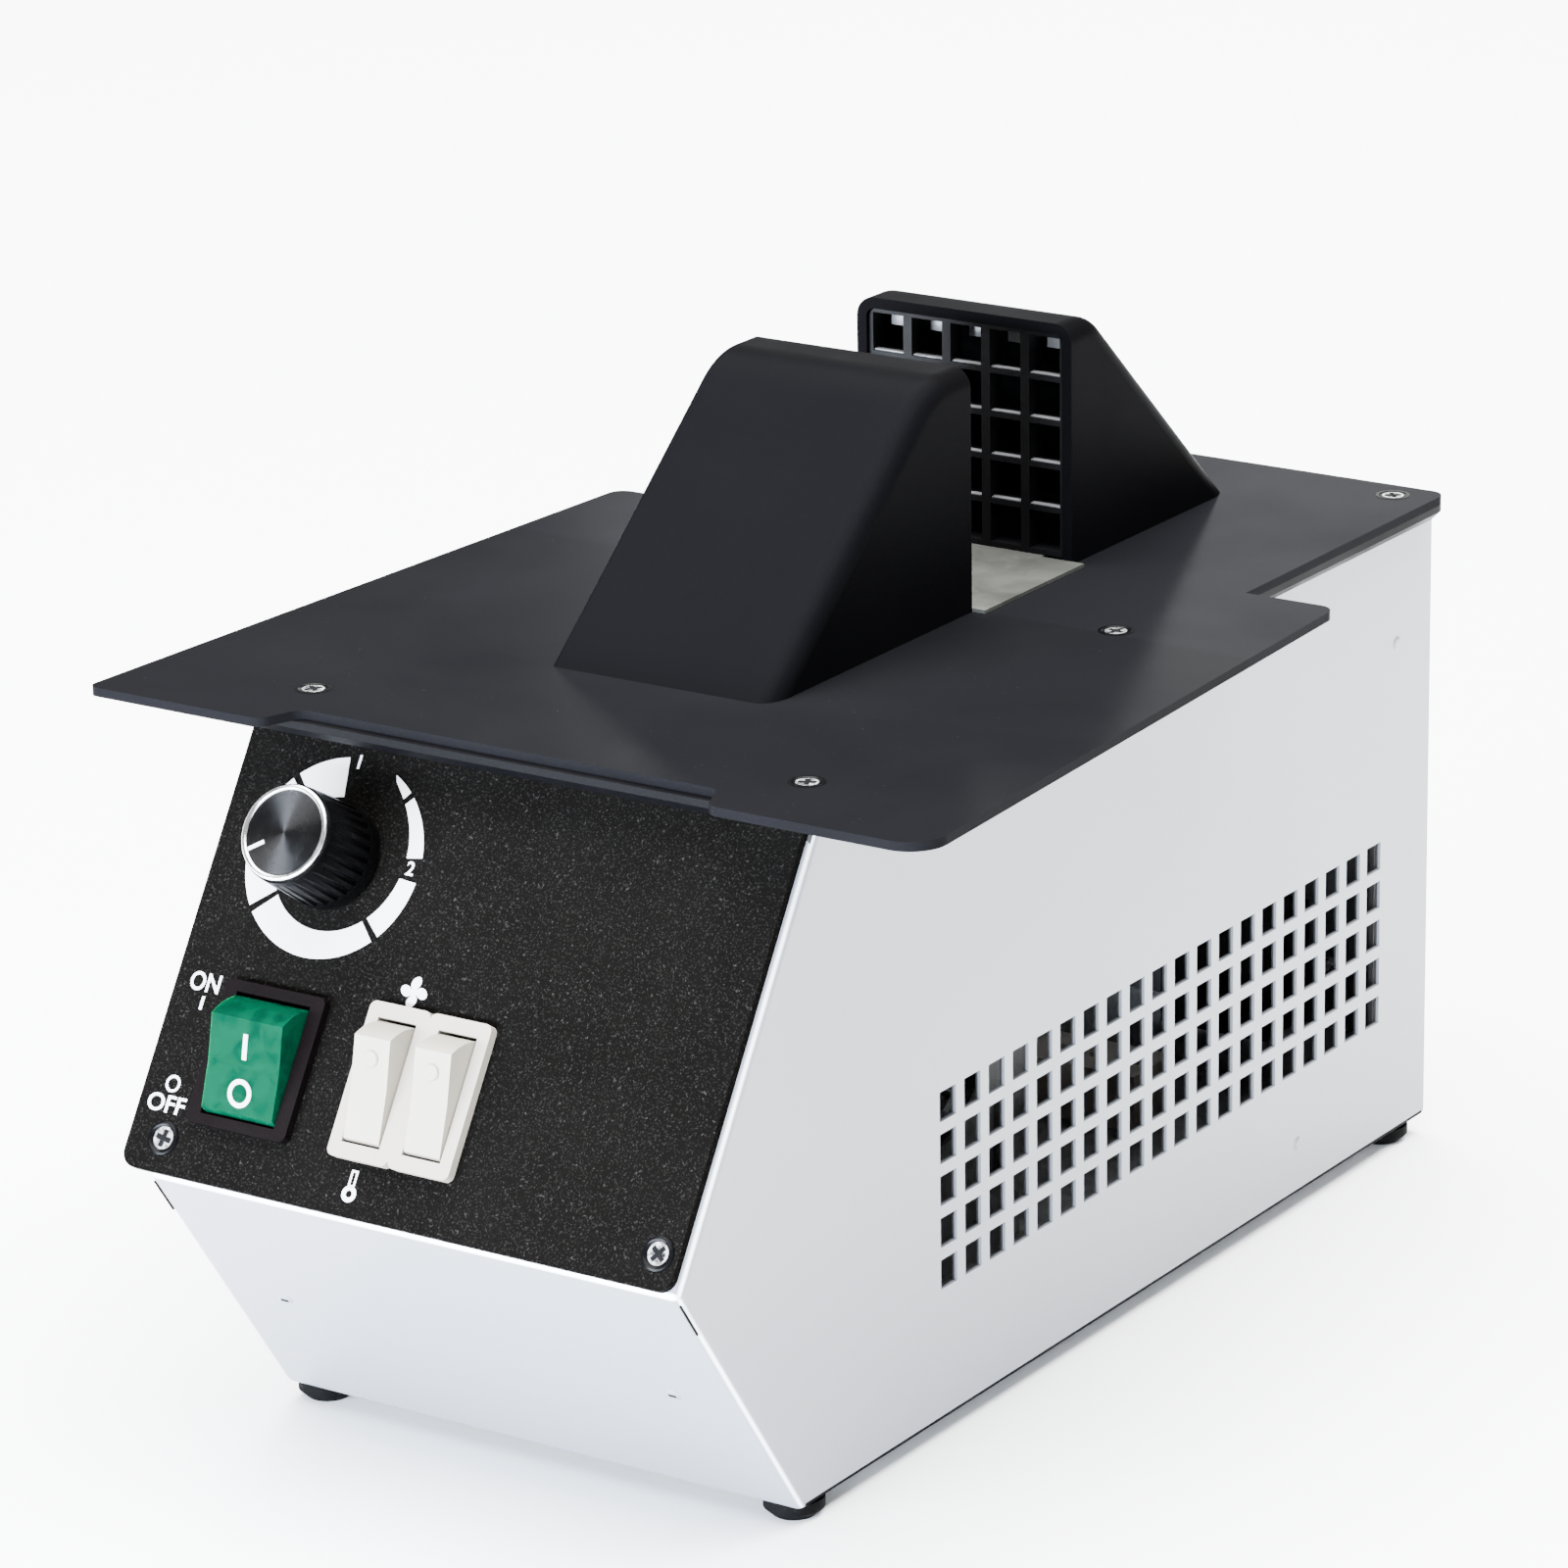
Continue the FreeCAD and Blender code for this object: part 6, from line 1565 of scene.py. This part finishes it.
@dataclass
class ScrewTrim:
    """Painted shade round the screws and in their heads: dark rings for the countersinks and dark crosses for
    the cross recesses.
    """

    maker: Maker
    panel_x: Flat = (-63.6 * MM, 60.1 * MM)
    panel_s: float = 7.8 * MM
    panel_radii: Flat = (2.45 * MM, 3.75 * MM)
    panel_lip: float = 0.35 * MM
    panel_turn: Flat = (math.radians(12.0), math.radians(38.0))
    plate_radii: Flat = (2.45 * MM, 3.9 * MM)
    plate_lip: float = 0.12 * MM
    plate_turn: float = math.radians(38.0)
    plate_head: float = 3.0 * MM
    middle_lead: float = 123.3 * MM
    cross_length: float = 3.8 * MM
    cross_width: float = 1.05 * MM
    cross_height: float = 0.05 * MM
    cross_step: float = 1.02
    cross_edge: float = 0.02 * MM

    def cup(self, name: str, radii: Flat, height: float) -> Piece:
        """Turn one dark ring of painted countersink shade with a raised round lip."""
        inner, outer = radii
        middle = (inner + outer) / 2
        profile = [
            (inner, 0.0),
            (outer, 0.0),
            (outer - height * 0.3, height * 0.7),
            (middle + height * 0.4, height),
            (middle - height * 0.2, height * 0.6),
            (inner, height * 0.25),
        ]
        return lathe(name, profile, RING_FACETS, closed=True)

    def cross(self, name: str, turn: float) -> Piece:
        """Model the painted shade of one cross recess as two dark crossing bars.

        Args:
            name: The piece's name.
            turn: How far the screw is turned, in radians.

        Returns:
            The cross, on the model's own ground plane.
        """
        long, wide, tall = self.cross_length, self.cross_width, self.cross_height
        middle = (0.0, 0.0, tall / 2)
        bar = slab(name, (long, wide, tall), middle, self.cross_edge)
        other = slab(f"{name}_b", (wide, long, tall * self.cross_step), middle, self.cross_edge)
        return turned(merge_pieces(name, [bar, other]), turn)

    def plate_spots(self) -> list[Point]:
        """Middles of the six plate screws' heads."""
        low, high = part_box("plate_screws")
        front, rear = low.y + self.plate_head, high.y - self.plate_head
        columns = (low.x + self.plate_head, high.x - self.plate_head)
        return [(x, y, high.z) for x in columns for y in (front, rear - self.middle_lead, rear)]

    def trim(self, title: str, place: Matrix, radii: Flat, lip: float, turn: float) -> None:
        """Trim one screw with its dark ring and its dark cross of painted shade.

        Args:
            title: Start and end of the two pieces' names, with a gap for what they are.
            place: Turns the screw's own axes into the row frame.
            radii: Inner and outer radius of the ring.
            lip: Height of the ring.
            turn: How far the screw is turned, in radians.
        """
        # Painted shade: a dark ring for the countersink and a dark cross for the recess in the head.
        self.maker.hand_in(self.cup(title.format("cup"), radii, lip), place, "countersink_shade")
        self.maker.hand_in(self.cross(title.format("cross"), turn), place, "recess_shade")

    def build(self) -> None:
        """Trim the two panel screws and the six plate screws."""
        for number, (x, turn) in enumerate(zip(self.panel_x, self.panel_turn), start=1):
            place = PANEL.at(x, self.panel_s, PANEL_FACE)
            self.trim(f"panel_screw_{{}}_{number}", place, self.panel_radii, self.panel_lip, turn)
        for number, spot in enumerate(self.plate_spots(), start=1):
            place, turn = Matrix.Translation(spot), number * self.plate_turn
            self.trim(f"plate_screw_{{}}_{number}", place, self.plate_radii, self.plate_lip, turn)


@dataclass
class Seams:
    """Dark lines of painted shade for the gaps where the casing's sheets meet, and dark marks on its front
    rivets.
    """

    maker: Maker
    proud: float = 0.04 * MM
    sunk: float = 0.3 * MM
    hem_rise: float = 1.0 * MM
    hem_height: float = 0.55 * MM
    hem_lead: float = 44.5 * MM
    hem_tail: float = 0.8 * MM
    hem_edge: float = 0.02 * MM
    slit_start: float = 2.6 * MM
    slit_length: float = 10.0 * MM
    slit_width: float = 0.45 * MM
    slit_inset: float = 0.75 * MM
    slit_edge: float = 0.05 * MM
    rivet_spot: Flat = (49.1 * MM, -39.4 * MM)
    rivet_size: Flat = (1.9 * MM, 0.6 * MM)
    rivet_head: float = 0.5 * MM

    def build(self) -> None:
        """Lay the painted shade of the hem gaps and of the fold slits, and the rivet marks."""
        low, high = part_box("casing_shell")
        near, far = BEND_Y + self.hem_lead, high.y - self.hem_tail
        thick, depth = self.proud + self.sunk, (self.proud - self.sunk) / 2
        z = low.z + self.hem_rise + self.hem_height / 2
        slit_size = (self.slit_width, self.slit_length, thick)
        slit_spot = (CASE_HALF - self.slit_inset, -(self.slit_start + self.slit_length / 2))
        rivet_top = self.lift_of_rivet() + depth
        for side, name in ((-1, "left"), (1, "right")):
            middle = (side * (CASE_HALF + depth), (near + far) / 2, z)
            # Painted shade: a dark strip along the hem, standing for the shade in its gap.
            hem = slab(f"hem_gap_shade_{name}", (thick, far - near, self.hem_height), middle, self.hem_edge)
            self.maker.hand_in(hem, Matrix.Identity(4), "recess_shade")
            # Painted shade: a dark strip standing for the shade in the slit beside the fold.
            slit = slab(f"fold_slit_shade_{name}", slit_size, ORIGIN, self.slit_edge)
            self.maker.hand_in(slit, UNDER.at(side * slit_spot[0], slit_spot[1], depth), "recess_shade")
            mark = slab(f"rivet_mark_{name}", (*self.rivet_size, thick), ORIGIN, self.slit_edge)
            place = UNDER.at(side * self.rivet_spot[0], self.rivet_spot[1], rivet_top)
            self.maker.hand_in(mark, place, "recess_shade")

    def lift_of_rivet(self) -> float:
        """Height of the front rivets' heads above the sheet."""
        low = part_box("front_rivets")[0]
        middle = UNDER.at(0.0, self.rivet_spot[1], 0.0).translation
        normal = UNDER.at(0.0, 0.0, 0.0).to_3x3() @ Vector(UPRIGHT)
        reach = Vector((0.0, low.y - middle.y, low.z - middle.z)).dot(normal)
        return max(min(reach, self.rivet_head), 0.0)


# ---------------------------------------------------------------- air outlets


@dataclass
class AirOutlet:
    """The bright metal that shows in one grille: strips and tabs behind it, and a bright lip on each ledge as
    a painted highlight along its edge.
    """

    maker: Maker
    grille: str
    side: int
    rows: int = 5
    columns: int = 5
    border: float = 1.0 * MM
    bar: float = 2.2 * MM
    ledge: float = 1.2 * MM
    gap: float = 0.2 * MM
    strip_depth: float = 6.0 * MM
    strip_wall: float = 0.6 * MM
    strip_height: float = 33.0 * MM
    tab_drop: float = 1.2 * MM
    tab_height: float = 2.6 * MM
    tab_share: float = 0.6
    rounding: float = 0.1 * MM
    lip_play: float = 0.2 * MM
    lip_depth: float = 1.5 * MM
    lip_thickness: float = 0.3 * MM
    lip_inset: float = 0.5 * MM
    lip_rounding: float = 0.06 * MM

    def __post_init__(self) -> None:
        """Read the grille's box and work out its cells."""
        self.low, self.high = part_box(self.grille)
        self.half = (self.high.x - self.low.x) / 2
        step = (2 * (self.half - self.border) + self.bar) / self.columns
        self.cell = step - self.bar
        first = -self.half + self.border + self.cell / 2
        self.middles = [first + column * step for column in range(self.columns)]
        self.rise = (self.high.z - self.border - self.low.z) / self.rows
        self.front = self.low.y if self.side > 0 else self.high.y
        self.back = self.high.y if self.side > 0 else self.low.y

    def ledge_highlights(self) -> Piece:
        """Lay a thin bright lip on every ledge of the grille, one for each cell, as a painted highlight along
        the ledge.
        """
        # Painted highlight: each lip is a bright slab standing for the light caught along the ledge's edge.
        deep = self.front + self.side * (self.lip_inset + self.lip_depth / 2)
        size = (self.cell - self.lip_play, self.lip_depth, self.lip_thickness)
        ledge_highlights = []
        for row in range(1, self.rows):
            top = self.low.z + row * self.rise + self.ledge + self.lip_thickness / 2
            for column, x in enumerate(self.middles):
                ledge_highlights.append(slab(f"lip_{row}_{column}", size, (x, deep, top), self.lip_rounding))
        return merge_pieces(f"{self.grille}_lips", ledge_highlights)

    def side_strips(self) -> Piece:
        """Stand two bright strips behind the outer edges of the grille."""
        deep = self.back + self.side * (self.gap + self.strip_depth / 2)
        size = (self.strip_wall, self.strip_depth, self.strip_height)
        strips = []
        for end in (-1, 1):
            middle = (end * (self.half - self.strip_wall), deep, self.low.z + self.strip_height / 2)
            strips.append(slab(f"strip_{end}", size, middle, self.rounding))
        return merge_pieces(f"{self.grille}_side_strips", strips)

    def tabs(self) -> Piece:
        """Hang a bright tab behind the top of each column."""
        deep = self.back + self.side * (self.gap + self.strip_wall / 2)
        high = self.high.z - self.border - self.tab_drop - self.tab_height / 2
        size = (self.cell * self.tab_share, self.strip_wall, self.tab_height)
        tabs = []
        for column, x in enumerate(self.middles):
            tabs.append(slab(f"tab_{column}", size, (x, deep, high), self.rounding))
        return merge_pieces(f"{self.grille}_tabs", tabs)

    def build(self) -> None:
        """Make the ledges' highlight lips, the strips and the tabs."""
        for piece in (self.ledge_highlights(), self.side_strips(), self.tabs()):
            self.maker.hand_in(piece, Matrix.Identity(4), "bright_lining", slot="zinc")


# ---------------------------------------------------------------- studio


@dataclass(frozen=True)
class AreaLight:
    """One soft light panel that looks at the warmer."""

    title: str
    place: Point
    target: Point
    size: Flat
    power: float
    colour: Colour = (1.0, 1.0, 1.0)

    def build(self) -> None:
        """Hang the light."""
        deselect_all()
        bpy.ops.object.light_add(type="AREA", location=self.place)
        lamp = bpy.context.active_object
        lamp.name = self.title
        lamp.data.shape = "RECTANGLE"
        lamp.data.size, lamp.data.size_y = self.size
        lamp.data.energy = self.power
        lamp.data.color = self.colour
        aim = Vector(self.target) - Vector(self.place)
        lamp.rotation_euler = aim.to_track_quat("-Z", "Y").to_euler()


@dataclass
class Studio:
    """A pale floor, soft lights and the camera."""

    floor_size: float = 16.0
    floor_colour: Colour = (0.93, 0.935, 0.94)
    sky: Colour = (1.0, 1.0, 1.0)
    sky_strength: float = 0.4
    camera_place: Point = (0.794, -1.213134, 0.592)
    camera_right: Point = (0.83619, 0.54824, -0.01475)
    camera_up: Point = (-0.15856, 0.26741, 0.95045)
    camera_back: Point = (0.525013, -0.792419, 0.310538)
    camera_angle: float = math.radians(12.748)
    nearest: float = 0.01
    lights: tuple[AreaLight, ...] = (
        AreaLight("top_light", (-0.2, 0.3, 3.0), (-0.2, 0.3, 0.0), (4.2, 4.2), 1600.0),
        AreaLight(
            "key_light", (-0.25, -1.45, 0.17), (0.0, -0.1, 0.05), (1.5, 0.28), 290.0, (0.80, 0.88, 1.0)
        ),
        AreaLight("side_light", (1.9, 0.3, 0.6), (0.0, 0.0, 0.08), (1.0, 0.8), 6.0),
        AreaLight("rear_light", (-0.75, 1.5, 0.62), (-0.03, 0.0, 0.15), (0.6, 0.35), 3.0),
    )

    def floor(self) -> None:
        """Lay the pale floor."""
        deselect_all()
        bpy.ops.mesh.primitive_plane_add(size=self.floor_size, location=ORIGIN)
        piece = adopt("studio_floor")
        edit(piece)
        bpy.ops.mesh.subdivide(number_cuts=3)
        close()
        ground = Finish(
            "pale_floor", self.floor_colour, self.floor_colour, self.floor_colour, roughness=0.7,
            unevenness=0.02, fine_size=2 * MM, cloud_size=400 * MM, speck_size=5 * MM, speck_level=0.9,
            relief=0.001 * MM,
        )
        piece.data.materials.append(ground.material())

    def world(self) -> None:
        """Light the room evenly."""
        room = bpy.data.worlds.new("studio_room")
        room.use_nodes = True
        backdrop = room.node_tree.nodes["Background"]
        backdrop.inputs["Color"].default_value = (*self.sky, 1.0)
        backdrop.inputs["Strength"].default_value = self.sky_strength
        bpy.context.scene.world = room

    def camera(self) -> None:
        """Set up the camera."""
        deselect_all()
        bpy.ops.object.camera_add(location=self.camera_place)
        camera = bpy.context.active_object
        camera.name = "main_camera"
        axes = Matrix((self.camera_right, self.camera_up, self.camera_back)).transposed().to_4x4()
        camera.matrix_world = Matrix.Translation(self.camera_place) @ axes
        camera.data.sensor_fit = "HORIZONTAL"
        camera.data.angle = self.camera_angle
        camera.data.clip_start = self.nearest
        bpy.context.scene.camera = camera

    def build(self) -> None:
        """Set up the camera, the floor and the lights."""
        self.camera()
        self.floor()
        self.world()
        for light in self.lights:
            light.build()


def main() -> None:
    """Dress the carried parts, build the small pieces and set up the studio."""
    logging.basicConfig(level=logging.INFO, format="%(name)s: %(message)s")
    maker = Maker()
    Studio().build()
    CarriedParts(maker).dress()
    Dial(maker).build()
    Knob(maker).build()
    RockerMarks(maker).build()
    PanelPrint(maker).build()
    ScrewTrim(maker).build()
    Seams(maker).build()
    AirOutlet(maker, "rear_grille", 1).build()
    AirOutlet(maker, "front_grille", -1).build()


if __name__ == "__main__":
    main()
